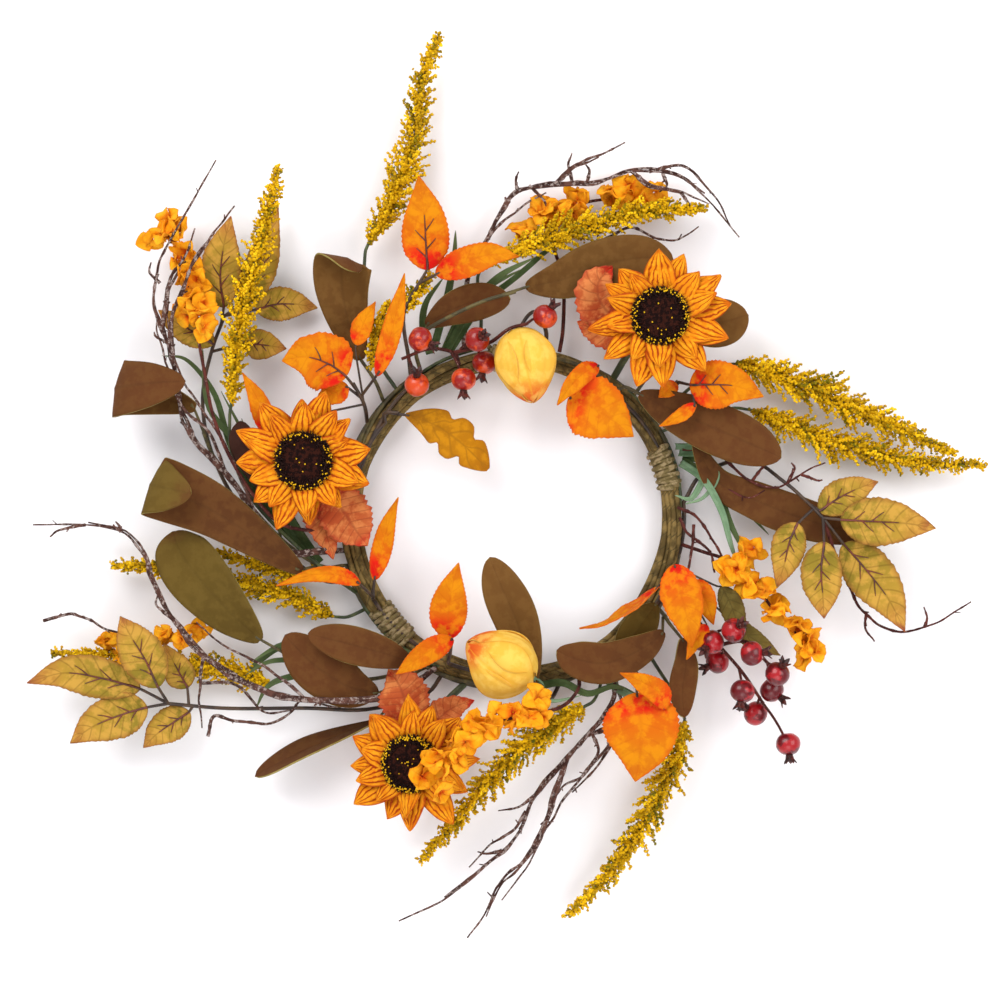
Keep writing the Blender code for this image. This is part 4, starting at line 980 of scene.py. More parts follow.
def wrapped_paper(name, dark, light, turns):
    """Paper ribbon wound round a stem: slanted turns read from the stem's map, U round and V along. A dark
    band at the foot of each turn is painted shade in the groove where it meets the next turn.
    """
    made, tree, shader, spot, colour = patchy_material(name, 0.25, dark, light, 150.0, 0.4)
    parts = add(tree, "SeparateXYZ", {"Vector": add(tree, "UVMap", uv_map="UVMap").outputs["UV"]})
    wound = maths(tree, "MULTIPLY_ADD", parts.outputs["Y"], turns, parts.outputs["X"])
    wound = maths(tree, "FRACT", wound)
    # Painted shade: a dark band at the foot of each turn, in the groove between the turns.
    colour_with_groove_shade = mix(tree, band(tree, wound, 0.0, 0.16), paint("#3f3519"), colour)
    height = maths(tree, "MULTIPLY_ADD", noise_at(tree, spot, 500.0, 5.0), 0.5, wound)
    dress(tree, shader, colour_with_groove_shade, 0.8, height, 0.7, 0.0006)
    return made


def toned(name, stops, roughness, spread=0.0):
    """Small grains, each with its own tone from the piece's tone attribute."""
    made, tree, shader = bare_material(name, 0.15)
    tone = add(tree, "Attribute", attribute_name="tone").outputs["Fac"]
    spot = add(tree, "TexCoord").outputs["Object"]
    soft = maths(tree, "SUBTRACT", noise_at(tree, spot, 60.0, 2.0), 0.5)
    colour = ramp(tree, maths(tree, "ADD", tone, times(tree, soft, spread)), stops)
    dress(tree, shader, colour, roughness, noise_at(tree, spot, 1600.0, 3.0), 0.4, 0.0003)
    return made


def berry_lacquer(name, deep, bright, freckle):
    """A glossy berry skin with pale freckles."""
    made, tree, shader, spot, colour = patchy_material(name, 0.35, deep, bright, 75.0, 0.6)
    freckles = use(tree, "flecks", Vector=spot, Scale=900.0, Amount=0.18)
    colour = mix(tree, times(tree, freckles.outputs["Mask"], 0.35), colour, paint(freckle))
    dress(tree, shader, colour, 0.32, noise_at(tree, spot, 260.0, 3.0), 0.25, 0.0006)
    shader.inputs["Coat Weight"].default_value = 0.3
    shader.inputs["Coat Roughness"].default_value = 0.12
    return made


def flock():
    """The dark fuzz of a seed disc."""
    made, tree, shader, spot, colour = patchy_material("seed_flock", 0.1, "#170806", "#30140c", 420.0, 0.6)
    dress(tree, shader, colour, 0.95, noise_at(tree, spot, 1500.0, 6.0), 0.9, 0.0008)
    return made


def drawn_wire():
    """The steel of the hoop inside the ring."""
    made, tree, shader, _, colour = patchy_material("hoop_steel", 0.5, "#6e6b63", "#8d8a82", 300.0, 0.3)
    dress(tree, shader, colour, 0.4)
    shader.inputs["Metallic"].default_value = 1.0
    return made


# Finishes with few values: what makes them, then each one's name with its colours and settings
SIMPLE_FINISHES = {
    plain_cloth: [
        ("petal_back", "#c9700f", "#dd8a1e"),
        ("orange_edge", "#c25606", "#d86a10"),
        ("green_edge", "#7a4a26", "#8a6a34"),
        ("suede_edge", "#8a7a3e", "#9a8a50"),
        # The cut edge of the darker suede copy, also painted shade.
        ("dark_edge", "#3c241c", "#4b3226"),
        ("rust_edge", "#9c3220", "#b0482e"),
        ("oak_edge", "#8a5a0a", "#a8720e"),
        ("blossom_edge", "#d9740a", "#e8901a"),
        ("lantern_edge", "#dba63a", "#eec060"),
    ],
    stem_plastic: [
        ("brown_rib", "#4a1c10", "#6b2a16", 0.42, 200.0),
        ("brown_stem", "#2c1c12", "#46301c", 0.5),
        ("green_stem", "#2f3a1c", "#4b5428", 0.5),
        ("olive_stem", "#3d3518", "#5d5228", 0.62),
        ("dark_calyx", "#2a0e0a", "#571d14", 0.55, 300.0),
        ("tape_cord", "#66562c", "#94805a", 0.8, 260.0),
    ],
    bark: [
        ("bare_twig", "#38201a", "#5c3c32", "#94847d", 0.27),
        ("red_twig", "#3d1814", "#5c2a22", "#8a6a60", 0.18),
    ],
    wrapped_paper: [
        ("vine_paper", "#54431f", "#80693a", 70.0),
        ("tape", "#5c4d26", "#86724a", 12.0),
    ],
    berry_lacquer: [
        ("berry_orange", "#8e0a04", "#c8400c", "#e69a3c"),
        ("berry_crimson", "#5e030c", "#a00c16", "#c84048"),
    ],
}

GOLDENROD_TONES = [(0.0, "#6c6606"), (0.25, "#b68c00"), (0.7, "#dcac02"), (1.0, "#f4ca16")]
SEED_TONES = [(0.0, "#140806"), (0.74, "#30160e"), (0.78, "#b98206"), (1.0, "#ecbe14")]

MATERIALS = {name: leaf_cloth(name, finish) for name, finish in CLOTHS.items()}
for make, finishes in SIMPLE_FINISHES.items():
    for name, *values in finishes:
        MATERIALS[name] = make(name, *values)
for made in (petal_cloth(), toned("goldenrod_grain", GOLDENROD_TONES, 0.7, 0.5),
             toned("seed_spike", SEED_TONES, 0.7), flock(), drawn_wire()):
    MATERIALS[made.name] = made




# Which cloth faces the viewer on each leaf, with its back and its cut edge
LEAF_CLOTHS = {
    "brown": ("suede_brown", "suede_olive", "suede_edge"), "olive": ("suede_olive", "suede_brown",
        "suede_edge"),
    # The dark cloths are darker copies of the suede: painted shade for a leaf that lies in shade.
    "umber": ("suede_umber", "suede_brown", "suede_edge"), "dark": ("suede_in_shade", "suede_in_shade",
        "dark_edge"),
    "orange": ("orange_cloth", "orange_back", "orange_edge"), "green": ("green_cloth", "green_back",
        "green_edge"),
    "ochre": ("olive_leaf_cloth", "green_back", "green_edge"),
    "rust": ("rust_cloth", "rust_cloth", "rust_edge"),
    "oak": ("oak_cloth", "oak_cloth", "oak_edge"), "petal": ("petal_cloth", "petal_back", "petal_back"),
    "floret": ("blossom_cloth", "blossom_cloth", "blossom_edge"), "sepal": ("dark_calyx",) * 3,
    "grass": ("grass_cloth",) * 3, "sage": ("sage_cloth",) * 3,
    "lantern": ("lantern_cloth", "lantern_cloth", "lantern_edge"),
}

MAGNOLIA_FRONTS = {
    # The third leaf of the left spray wears the dark cloths, which paint its shade.
    "magnolia_spray_left": ("umber", "brown", "dark"), "magnolia_leaf_left": ("olive",),
    "magnolia_spray_lower_left": ("brown", "brown", "brown"), "magnolia_leaf_upper_left": ("umber",),
    "magnolia_spray_top": ("brown", "umber"), "magnolia_leaf_upper_right": ("umber",),
    "magnolia_spray_right": ("brown", "brown"), "magnolia_leaf_bottom": ("umber",),
    "magnolia_spray_lower_right": ("brown", "brown", "olive"),
}

# Orange leaves that carry a raised rib, by pick and by number of leaf
RIBBED = {("orange_pick_top", 0), ("orange_pick_left", 0), ("orange_leaf_right", 0)}

# Leaves too small for a solid of their own: the pick each goes with, its kind, cloth, midrib and half width
SMALL_LEAVES = [
    ("orange_pick_left", "orange", "orange", [(-143, 50, 36), (-146, 66, 38), (-156, 84, 36)], 6),
    ("orange_pick_left", "orange", "orange", [(-90, 100, 38), (-86, 112, 40), (-79, 125, 38)], 6),
    ("orange_pick_lower_right", "orange", "orange", [(113, -62, 32), (107, -70, 34), (101, -82, 34)], 5),
    ("orange_pick_bottom", "orange", "orange", [(88, -110, 47), (84, -100, 51), (74, -94, 52),
                                                (62, -89, 50)], 7),
    ("orange_pick_lower_right", "green", "ochre", [(126, -58, 20), (134, -66, 24), (146, -74, 26),
                                                   (156, -80, 24)], 6),
    ("orange_pick_lower_right", "green", "ochre", [(122, -40, 20), (127, -50, 24), (131, -62, 25),
                                                   (134, -72, 22)], 7),
    ("orange_leaf_right", "orange", "orange", [(95, 79, 24), (90, 74, 30), (85, 70, 32)], 5),
]

# Strap leaves of grass, each from the foot of its tuft
GRASSES = {
    "grass_right": [
        [(96, 42, 8), (110, 40, 16), (120, 25, 20), (112, 12, 20), (101, 8, 18)],
        [(100, 34, 8), (118, 20, 15), (128, -5, 20), (140, -28, 20)],
        [(98, 38, 8), (115, 35, 14), (106, 12, 17), (95, 13, 16)],
        [(100, 36, 8), (120, 30, 12), (134, 8, 15), (150, -10, 15)],
        [(99, 32, 10), (112, 22, 20), (122, 4, 24), (127, -14, 22), (133, -31, 18)],
    ],
    "grass_left": [
        [(-112, -26, 8), (-128, -6, 12), (-142, 22, 14), (-154, 44, 14), (-170, 74, 13)],
        [(-118, -24, 8), (-138, 4, 11), (-152, 34, 14), (-158, 58, 13)],
        [(-116, -20, 10), (-130, 2, 15), (-139, 30, 18), (-134, 52, 17)],
        [(-120, -22, 7), (-145, 8, 9), (-164, 40, 10), (-174, 72, 10), (-190, 92, 9), (-205, 95, 9)],
        [(-118, -20, 8), (-140, 10, 12), (-160, 42, 12), (-178, 66, 12), (-181, 100, 12)],
    ],
    "grass_lower_left": [
        [(-72, -72, 12), (-98, -76, 18), (-124, -82, 20), (-142, -84, 20), (-156, -92, 16)],
        [(-78, -78, 10), (-104, -88, 14), (-126, -92, 16), (-142, -98, 16), (-150, -112, 12)],
        [(-72, -80, 10), (-100, -84, 12), (-130, -74, 14), (-148, -84, 14), (-158, -96, 11)],
        [(-110, -86, 12), (-118, -76, 20), (-134, -74, 24), (-152, -84, 22)],
    ],
    "grass_top": [
        [(-40, 98, 8), (-30, 118, 16), (-14, 134, 20), (6, 145, 20)],
        [(-46, 98, 8), (-38, 128, 14), (-34, 150, 14), (-33, 168, 11)],
        [(-38, 98, 10), (-24, 122, 18), (-8, 140, 24), (14, 152, 22)],
        [(-36, 98, 10), (-18, 124, 14), (4, 142, 16), (28, 162, 14), (42, 166, 12)],
        [(-48, 96, 10), (-52, 112, 16), (-50, 126, 18), (-40, 140, 18)],
    ],
    "grass_bottom": [
        [(14, -98, 16), (18, -96, 26), (12, -92, 32), (14, -102, 34), (24, -106, 34), (40, -103, 30)],
        [(16, -98, 14), (30, -96, 22), (44, -102, 26), (60, -98, 24), (78, -106, 18)],
        [(52, -92, 12), (62, -100, 22), (76, -108, 24), (84, -116, 20)],
    ],
}

# Plumes and twigs beside the ones that have solids
SMALL_PLUMES = {
    "goldenrod_left": [[((-82, 86, 30), 3), ((-79, 105, 32), 5), ((-72, 124, 30), 2)],
                       [((-66, 118, 24), 3), ((-58, 128, 26), 5), ((-48, 140, 24), 3)]],
    "goldenrod_lower_left": [[((-142, -98, 12), 7), ((-165, -90, 12), 7), ((-190, -86, 12), 6),
                              ((-230, -80, 12), 4),
                              ((-268, -79, 11), 2)],
                             [((-112, -34, 12), 4), ((-140, -30, 14), 6), ((-172, -20, 13), 2)]],
}
SMALL_TWIGS = {
    "twig_left": [
        [(-273, -60, 20), (-258, -56, 24), (-250, -58, 26), (-238, -63, 27), (-225, -68, 28),
         (-206, -78, 30)],
        [(-177, -127, 22), (-173, -115, 26), (-160, -118, 28), (-140, -119, 28), (-128, -112, 26),
         (-120, -106, 24),
         (-100, -110, 20), (-70, -104, 14)],
        [(-180, -96, 26), (-160, -97, 30), (-145, -112, 28), (-128, -112, 24)],
        [(-178, -80, 44), (-181, -100, 36), (-180, -122, 28)],
        [(-196, -58, 46), (-205, -50, 48), (-204, -44, 48)],
        [(-118, -106, 36), (-140, -88, 38), (-166, -74, 40), (-182, -60, 44)],
        [(-247, -4, 34), (-262, -7, 32), (-268, -11, 30)],
    ],
    "twig_top": [
        [(42, 158, 14), (55, 163, 16), (68, 169, 18), (80, 165, 18), (93, 161, 18), (102, 165, 18),
         (109, 170, 16)],
        [(-26, 140, 10), (-15, 163, 12), (4, 181, 12), (20, 190, 14)],
        [(4, 190, 16), (2, 196, 18), (4, 202, 18)], [(35, 196, 18), (33, 206, 18), (35, 213, 17)],
        [(44, 196, 18), (45, 202, 18), (43, 206, 18)], [(88, 201, 18), (90, 194, 18), (86, 190, 18)],
        [(10, 194, 16), (18, 186, 16), (20, 182, 15)], [(98, 190, 20), (104, 182, 19), (104, 176, 18)],
        [(80, 202, 17), (100, 205, 17), (118, 188, 15), (128, 170, 13)],
    ],
    "twig_bottom": [
        [(8, -170, 31), (0, -182, 31), (-12, -190, 29), (-25, -203, 26)],
        [(60, -94, 16), (64, -112, 26), (56, -132, 32), (38, -152, 34), (22, -176, 34), (10, -200, 31),
         (-6, -222, 28)],
        [(46, -124, 31), (50, -136, 30), (40, -150, 28), (30, -156, 26), (24, -164, 24)],
        [(-6, -193, 29), (-14, -196, 27), (-20, -194, 26)], [(14, -160, 32), (4, -168, 30), (-8, -170, 28)],
    ],
    "twig_upper_left": [
        [(-148, 0, 33), (-160, 30, 35), (-176, 58, 35), (-190, 78, 34), (-197, 100, 33), (-200, 118, 32)],
        [(-165, 24, 31), (-176, 50, 33), (-192, 66, 33), (-200, 88, 31), (-206, 108, 30), (-205, 118, 30)],
        [(-204, 136, 33), (-210, 142, 34), (-209, 148, 34)], [(-196, 100, 28), (-206, 104, 27),
            (-208, 108, 26)],
    ],
    "green_spray_right": [
        [(180, 0, 34), (188, -22, 30), (196, -40, 26), (203, -53, 24), (215, -63, 23), (230, -66, 22),
         (245, -62, 20),
         (258, -55, 18), (268, -49, 16)],
        [(206, -55, 24), (206, -64, 23), (211, -72, 22)], [(240, -64, 21), (242, -58, 21), (240, -52, 20)],
    ],
    "magnolia_spray_right": [
        [(100, 40, 10), (118, 38, 18), (138, 22, 24), (150, 18, 26), (160, 20, 28), (172, 28, 28),
         (182, 32, 26)],
        [(140, 22, 24), (146, 30, 26), (150, 34, 26)], [(160, 20, 28), (164, 28, 30), (162, 32, 30)],
        [(168, 25, 28), (176, 22, 30), (180, 22, 30)], [(104, 30, 10), (120, 20, 18), (136, 12, 22),
                                                        (147, 16, 24)],
    ],
    "berries_lower_right": [
        [(98, 0, 14), (103, -10, 18), (115, -20, 22), (118, -32, 22)],
        [(97, 6, 14), (108, 0, 20), (116, -12, 24), (124, -26, 24)],
        [(106, -4, 18), (104, -22, 22), (102, -36, 22)],
    ],
}
SMALL_BLOSSOMS = {
    "blossom_spray_upper_left": [(-205, 160, 24), (-185, 148, 26), (-176, 112, 34), (-190, 128, 30),
                                 (-199, 172, 20)],
    "blossom_spray_top": [(8, 170, 8), (20, 177, 8), (32, 182, 9), (54, 186, 10), (70, 193, 9),
                          (80, 188, 10)],
    "blossom_spray_right": [(133, -30, 24), (147, -47, 27), (162, -66, 27), (178, -76, 26), (136, -20, 22)],
    "blossom_spray_bottom": [(14, -107, 74), (-4, -112, 78), (-20, -121, 79), (-36, -134, 79),
                             (-46, -150, 77)],
    "green_spray_lower_left": [(-236, -72, 16), (-205, -65, 18), (-185, -66, 18), (-196, -70, 20),
                               (-230, -80, 16)],
}


# The ring

def cloths_of(cloth):
    """The materials of a cloth's front, back and cut edge."""
    return [MATERIALS[name] for name in LEAF_CLOTHS[cloth]]


def ball(name, segments, rings):
    """A unit sphere, before it is shaped."""
    deselect()
    bpy.ops.mesh.primitive_uv_sphere_add(segments=segments, ring_count=rings, radius=1)
    return named(name)


def shaped(piece, points, *materials):
    """A piece with its points in their places, its materials and smooth shading."""
    move_points(piece, points)
    wear(piece, *materials)
    smooth_shading(piece)
    return piece


def strap(name, line, radii, sides, materials, closed=False):
    """A round stem with a map, U round it and V along it: a grid rolled up along a line."""
    deselect()
    bpy.ops.mesh.primitive_grid_add(x_subdivisions=sides, y_subdivisions=len(line) - 1, size=2)
    piece = named(name)
    flat = points_of(piece)
    turn = flat[:, 0] * math.pi
    along = (flat[:, 1] + 1) / 2
    start = TOWARDS_VIEWER if abs((line[1] - line[0]).normalized().y) < 0.9 else Vector((1, 0, 0))
    sides_found, fronts = frames(line, start.cross(line[1] - line[0]).normalized())
    middle, first, second = (np.array([tuple(v) for v in rows]) for rows in (line, sides_found, fronts))
    radius = between(np.array(radii, float)[:, None], along)[:, 0] * MM
    spots = between(middle, along)
    spots = spots + between(first, along) * (radius * np.cos(turn))[:, None]
    spots = spots + between(second, along) * (radius * np.sin(turn))[:, None]
    move_points(piece, spots)
    wear(piece, *materials)
    choose(piece)
    bpy.ops.object.mode_set(mode="EDIT")
    bpy.ops.mesh.select_all(action="SELECT")
    bpy.ops.mesh.remove_doubles(threshold=0.00002)
    if not closed:
        bpy.ops.mesh.fill_holes(sides=0)
    bpy.ops.mesh.normals_make_consistent(inside=False)
    bpy.ops.object.mode_set(mode="OBJECT")
    smooth_shading(piece)
    return piece


RING_STEMS = 9
STEM_TURNS = 1


def ring_line(offset, phase, turns, steps=180, wander=0.0, start=0.0, span=360.0):
    """A line round the ring, twisting about its centreline at an offset in millimetres."""
    line = []
    for i in range(steps + 1):
        degrees = start + span * i / steps
        centre, out = on_ring(degrees)
        turn = math.radians(turns * degrees + phase)
        sway = wander * math.sin(math.radians(5 * degrees + phase * 3))
        away = out * math.cos(turn) + TOWARDS_VIEWER * math.sin(turn)
        line.append(centre + away * ((offset + sway) * MM))
    return line


def make_strand(number):
    """Three paper-wrapped stems that twist together with the other strands round the hoop wire."""
    stems = []
    for i in range(3):
        phase = 360 * (number * 3 + i) / RING_STEMS
        line = ring_line(3.5 + 0.6 * i, phase, STEM_TURNS, wander=0.75)
        radii = [1.5 + 0.14 * i + 0.14 * math.sin(j * 0.31 + phase) for j in range(len(line))]
        stems.append(strap("stem", line, radii, 10, [MATERIALS["vine_paper"]], closed=True))
    piece = join(f"ring_stems_{number + 1}", stems)
    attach(piece, "root")
    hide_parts(f"vine_strand_{number + 1}")


# Where each band is in degrees, its coiled turns, and its crossed turns
BANDS = {"top": (90, 8, 0), "right": (18, 0, 6), "lower_left": (222, 8, 3)}
BAND_SPAN = 15.0
WINDING_RADIUS = 6.7
STEPS_A_TURN = 26


def make_band(name, degrees, coiled, crossed):
    """A stretch of narrow tape wound round the bundle, coiled side by side or crossed both ways."""
    first = degrees - BAND_SPAN / 2
    sleeve = ring_line(0, 0, 0, steps=10, start=first, span=BAND_SPAN)
    parts = [strap("sleeve", sleeve, [BUNDLE_RADIUS] * len(sleeve), 24, [MATERIALS["tape"]])]
    windings = [(coiled, 1.5)] if coiled else []
    windings += [(crossed, 1.1), (-crossed, 1.1)] if crossed else []
    for turns, thickness in windings:
        steps = abs(turns) * STEPS_A_TURN
        line = ring_line(WINDING_RADIUS, 0, 360 * turns / BAND_SPAN, steps=steps, start=first,
                         span=BAND_SPAN)
        widths = [thickness + 0.2 * math.sin(i * 0.7) for i in range(len(line))]
        parts.append(strap("turns", line, widths, 8, [MATERIALS["tape_cord"]]))
    piece = join(f"tape_wrap_{name}", parts)
    points = points_of(piece)
    points[:, 1] = np.minimum(points[:, 1], 0.0)
    move_points(piece, points)
    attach(piece, "root")
    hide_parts(f"tape_band_{name}")


# Leaf picks. A stem's lower end runs this many degrees and more along the ring

LEAD_IN_DEGREES = 26


def lead_in(pick, radius, seed):
    """The lower end of a stem, which runs along the ring before the stem leaves it."""
    centre, out = on_ring(pick["root"])
    tangent = Vector((-out.z, 0, out.x))
    first = place((pick.get("stem") or pick["branches"][0])[0])
    way = 1 if (first - centre).dot(tangent) > 0 else -1
    line = []
    for i in range(9):
        share = i / 9
        spot, out = on_ring(pick["root"] - way * (LEAD_IN_DEGREES + 4 * (seed % 4)) * (1 - share))
        turn = math.radians(pick.get("side", 0) + (1 - share) * (50 - 35 * (seed % 3)))
        away = out * math.cos(turn) + TOWARDS_VIEWER * math.sin(turn)
        offset = BUNDLE_RADIUS + 0.5 * radius - 3.2 * (1 - share) ** 3
        line.append(spot + away * (offset * MM))
    return line


def leaf_of(name, kind, cloth, midrib, half_width, rolls, seed, ribs=True):
    """One cloth leaf, with its raised plastic rib if it has one. Returns its pieces."""
    line = smooth([place(spot) for spot in midrib], SHAPES[kind]["steps"])
    lay = lay_of(line, half_width, kind, rolls, seed)
    pieces = [blade(name, lay, kind, len(line) - 1, cloths_of(cloth))]
    if ribs:
        pieces.append(short_ribs(name, lay, kind, 0.75 if half_width > 8 else 0.5))
    return pieces


def short_ribs(name, lay, kind, radius):
    """The plastic rib on the lower half of a leaf's front, with alternate side ribs."""
    lift = (SHAPES[kind]["thickness"] / 2 + radius * 0.3) * MM

    def route(across, along, first, last):
        places, fronts = lay(np.array(across), np.array(along))
        return tapered([Vector(spot + front * lift) for spot, front in zip(places, fronts)], first, last)

    routes = [route(np.zeros(10), np.linspace(0.0, 0.62, 10), radius, radius * 0.4)]
    for start, way in ((0.14, -1), (0.24, 1), (0.34, -1), (0.45, 1)):
        reach = np.linspace(0.0, 0.42, 5)
        routes.append(route(reach * way, start + reach * 0.30, radius * 0.65, radius * 0.3))
    return rods(name, routes, MATERIALS["brown_rib"])


def make_leaf_pick(name, pick, kind, fronts, stem_finish):
    """A stem with its leaves, their stalks and ribs, as one piece."""
    stem = smooth([root_of(pick, STEM_RADIUS)] + [place(spot) for spot in pick["stem"]], 6)
    routes = [tapered(lead_in(pick, STEM_RADIUS, len(name)) + stem, STEM_RADIUS, STEM_RADIUS * 0.8)]
    parts = []
    for number, (stalk, midrib, half_width, *turned) in enumerate(pick["leaves"]):
        rolls = turned[0] if turned else (0, 0)
        cloth = fronts[number] if isinstance(fronts, tuple) else fronts
        ribs = kind == "green" or (name, number) in RIBBED
        parts += leaf_of(name, kind, cloth, midrib, half_width, rolls, len(name) + number * 7, ribs)
        base, further = place(midrib[0]), place(midrib[1])
        reach = 0.5 if ribs else 0.12
        stalk_line = smooth([place(stalk), base.lerp(further, 0.06), base.lerp(further, reach)], 4)
        routes.append(tapered(stalk_line, 0.95, 0.6))
    for owner, small_kind, cloth, midrib, half_width in SMALL_LEAVES:
        if owner == name:
            seed = len(midrib) + half_width
            parts += leaf_of(name, small_kind, cloth, midrib, half_width, (0, 0), seed, False)
            base = place(midrib[0])
            stalk_line = smooth([stem[len(stem) // 2], base.lerp(stem[-1], 0.2), base], 4)
            routes.append(tapered(stalk_line, 0.7, 0.5))
    parts.append(rods(name, routes, MATERIALS[stem_finish], 2))
    if name in SMALL_TWIGS:
        parts.append(twig_rods(name, SMALL_TWIGS[name], 1.0, 0.45, "red_twig"))
    if name in SMALL_BLOSSOMS:
        parts += florets_at(name, SMALL_BLOSSOMS[name], 0.8)
    piece = join(name + "_leaves", parts)
    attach(piece, "root")
    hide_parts(name)


# Goldenrod: how far apart its tufts stand, and the grains on a tuft, in millimetres

TUFT_SPACING = 0.62
GRAIN_SPACING = 0.72


def scattered(chance, spread):
    """A random vector with the given spread."""
    return Vector([chance.gauss(0, spread) for _ in range(3)])


def plume_grains(stops, seed):
    """Spots, turns and tones of a plume's grains, the routes of their fine stalks, and the plume's line."""
    chance = random.Random(seed)
    spots, widths = zip(*stops)
    line = smooth([place(spot) for spot in spots], 10)
    width_line = np.interp(np.linspace(0, 1, len(line)), np.linspace(0, 1, len(widths)), widths)
    length = sum((b - a).length for a, b in zip(line, line[1:])) / MM
    sides, fronts = frames(line, Vector((0.3, -0.9, 0.2)))
    places, turns, tones, stalks = [], [], [], []
    count = int(length / TUFT_SPACING)
    for number in range(count):
        share = (number + chance.random()) / count
        at = min(int(share * (len(line) - 1)), len(line) - 2)
        spot = line[at].lerp(line[at + 1], share * (len(line) - 1) - at)
        tangent = (line[at + 1] - line[at]).normalized()
        angle = number * GOLDEN_ANGLE + chance.uniform(-0.4, 0.4)
        away = sides[at] * math.cos(angle) + fronts[at] * math.sin(angle)
        reach = width_line[at] * chance.uniform(0.85, 1.95)
        direction = (away + tangent * chance.uniform(0.6, 1.3)).normalized()
        tip = spot + direction * reach * MM
        stalks.append([(spot, 0.32), (tip, 0.2)])
        tone = chance.uniform(0.1, 0.9)
        grains = max(3, int(reach / GRAIN_SPACING))
        for grain in range(grains):
            part = (grain + 1.0) / grains
            swell = scattered(chance, 0.62) * (MM * (1.2 - 0.5 * part))
            size = chance.uniform(0.85, 1.25) * (1.05 - 0.25 * part)
            places.append(tuple(spot.lerp(tip, part * 0.98 + 0.02) + swell))
            turns.append(turn_to(scattered(chance, 1), size * MM * 1.25, size * MM * 0.9))
            tones.append(min(max(tone + chance.uniform(-0.25, 0.3) * part, 0.0), 1.0))
    return places, turns, tones, stalks, line


def make_goldenrod(name, pick, grain):
    routes = []
    places, turns, tones = [], [], []
    for number, stops in enumerate([pick["plume"], *SMALL_PLUMES.get(name, [])]):
        more = plume_grains(stops, len(name) * 31 + number * 7 + int(pick["root"]))
        places += more[0]
        turns += more[1]
        tones += more[2]
        routes += more[3]
        routes.append(tapered(more[4], 0.95, 0.4))
    spots = (*pick["stem"], pick["plume"][0][0])
    stem = smooth([root_of(pick, STEM_RADIUS)] + [place(spot) for spot in spots], 6)
    routes.append(tapered(lead_in(pick, STEM_RADIUS, len(name) + 1) + stem, STEM_RADIUS, 0.95))
    grains = scatter(name, grain, places, turns, tones, MATERIALS["goldenrod_grain"])
    piece = join(name + "_plume", [grains, rods(name, routes, MATERIALS["green_stem"], 1)])
    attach(piece, "root")
    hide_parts(name)


# Twigs

def twig_rods(name, branches, first, last, finish, seed=3, strands=1):
    """Crooked twigs with knots, and short thorns along them."""
    chance = random.Random(seed)
    routes = []
    doubled = []
    for branch in branches:
        doubled.append((branch, Vector()))
        if strands > 1:
            second = branch[:-1] if len(branch) > 3 else branch
            beside = Vector([chance.uniform(-reach, reach) for reach in (2.4, 1, 2.4)]) * MM
            doubled.append((second, beside))
    for branch, aside in doubled:
        line = smooth([place(spot) if not isinstance(spot, Vector) else spot for spot in branch], 7)
        line = [spot + aside * min(1, i / 5) for i, spot in enumerate(line)]
        crooked, radius = [], []
        for i, spot in enumerate(line):
            share = i / (len(line) - 1)
            near = spot * 90 + aside * 900
            drift = Vector((noise.noise(near), noise.noise(near + Vector((9, 0, 0))),
                            noise.noise(near + Vector((0, 9, 0)))))
            crooked.append(spot + drift * (1.3 * MM * math.sin(math.pi * share)))
            knot = 1.28 if i % 7 == 3 else 1.0
            radius.append((first + (last - first) * share) * knot * chance.uniform(0.88, 1.1))
        routes.append(list(zip(crooked, radius)))
        for i in range(4, len(crooked) - 3, 9):
            tangent = (crooked[i + 1] - crooked[i]).normalized()
            away = (tangent + scattered(chance, 0.7)).normalized()
            long = chance.uniform(1.6, 4.2) * MM
            routes.append([(crooked[i], radius[i] * 0.7), (crooked[i] + away * long, radius[i] * 0.45)])
    return rods(name, routes, MATERIALS[finish], 1)


def make_twig(name, pick):
    branches = [list(branch) for branch in pick["branches"]]
    branches[0] = [root_of(pick, TWIG_RADIUS), *branches[0]]
    parts = [twig_rods(name, branches[:1], TWIG_RADIUS * 1.3, 0.5, "bare_twig", 5, 2),
             twig_rods(name, branches[1:], TWIG_RADIUS * 1.05, 0.45, "bare_twig", 8, 2),
             twig_rods(name, SMALL_TWIGS[name], TWIG_RADIUS * 0.95, 0.42, "bare_twig", 12)]
    piece = join(name + "_bark", parts)
    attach(piece, "root")
    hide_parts(name)


# Berries

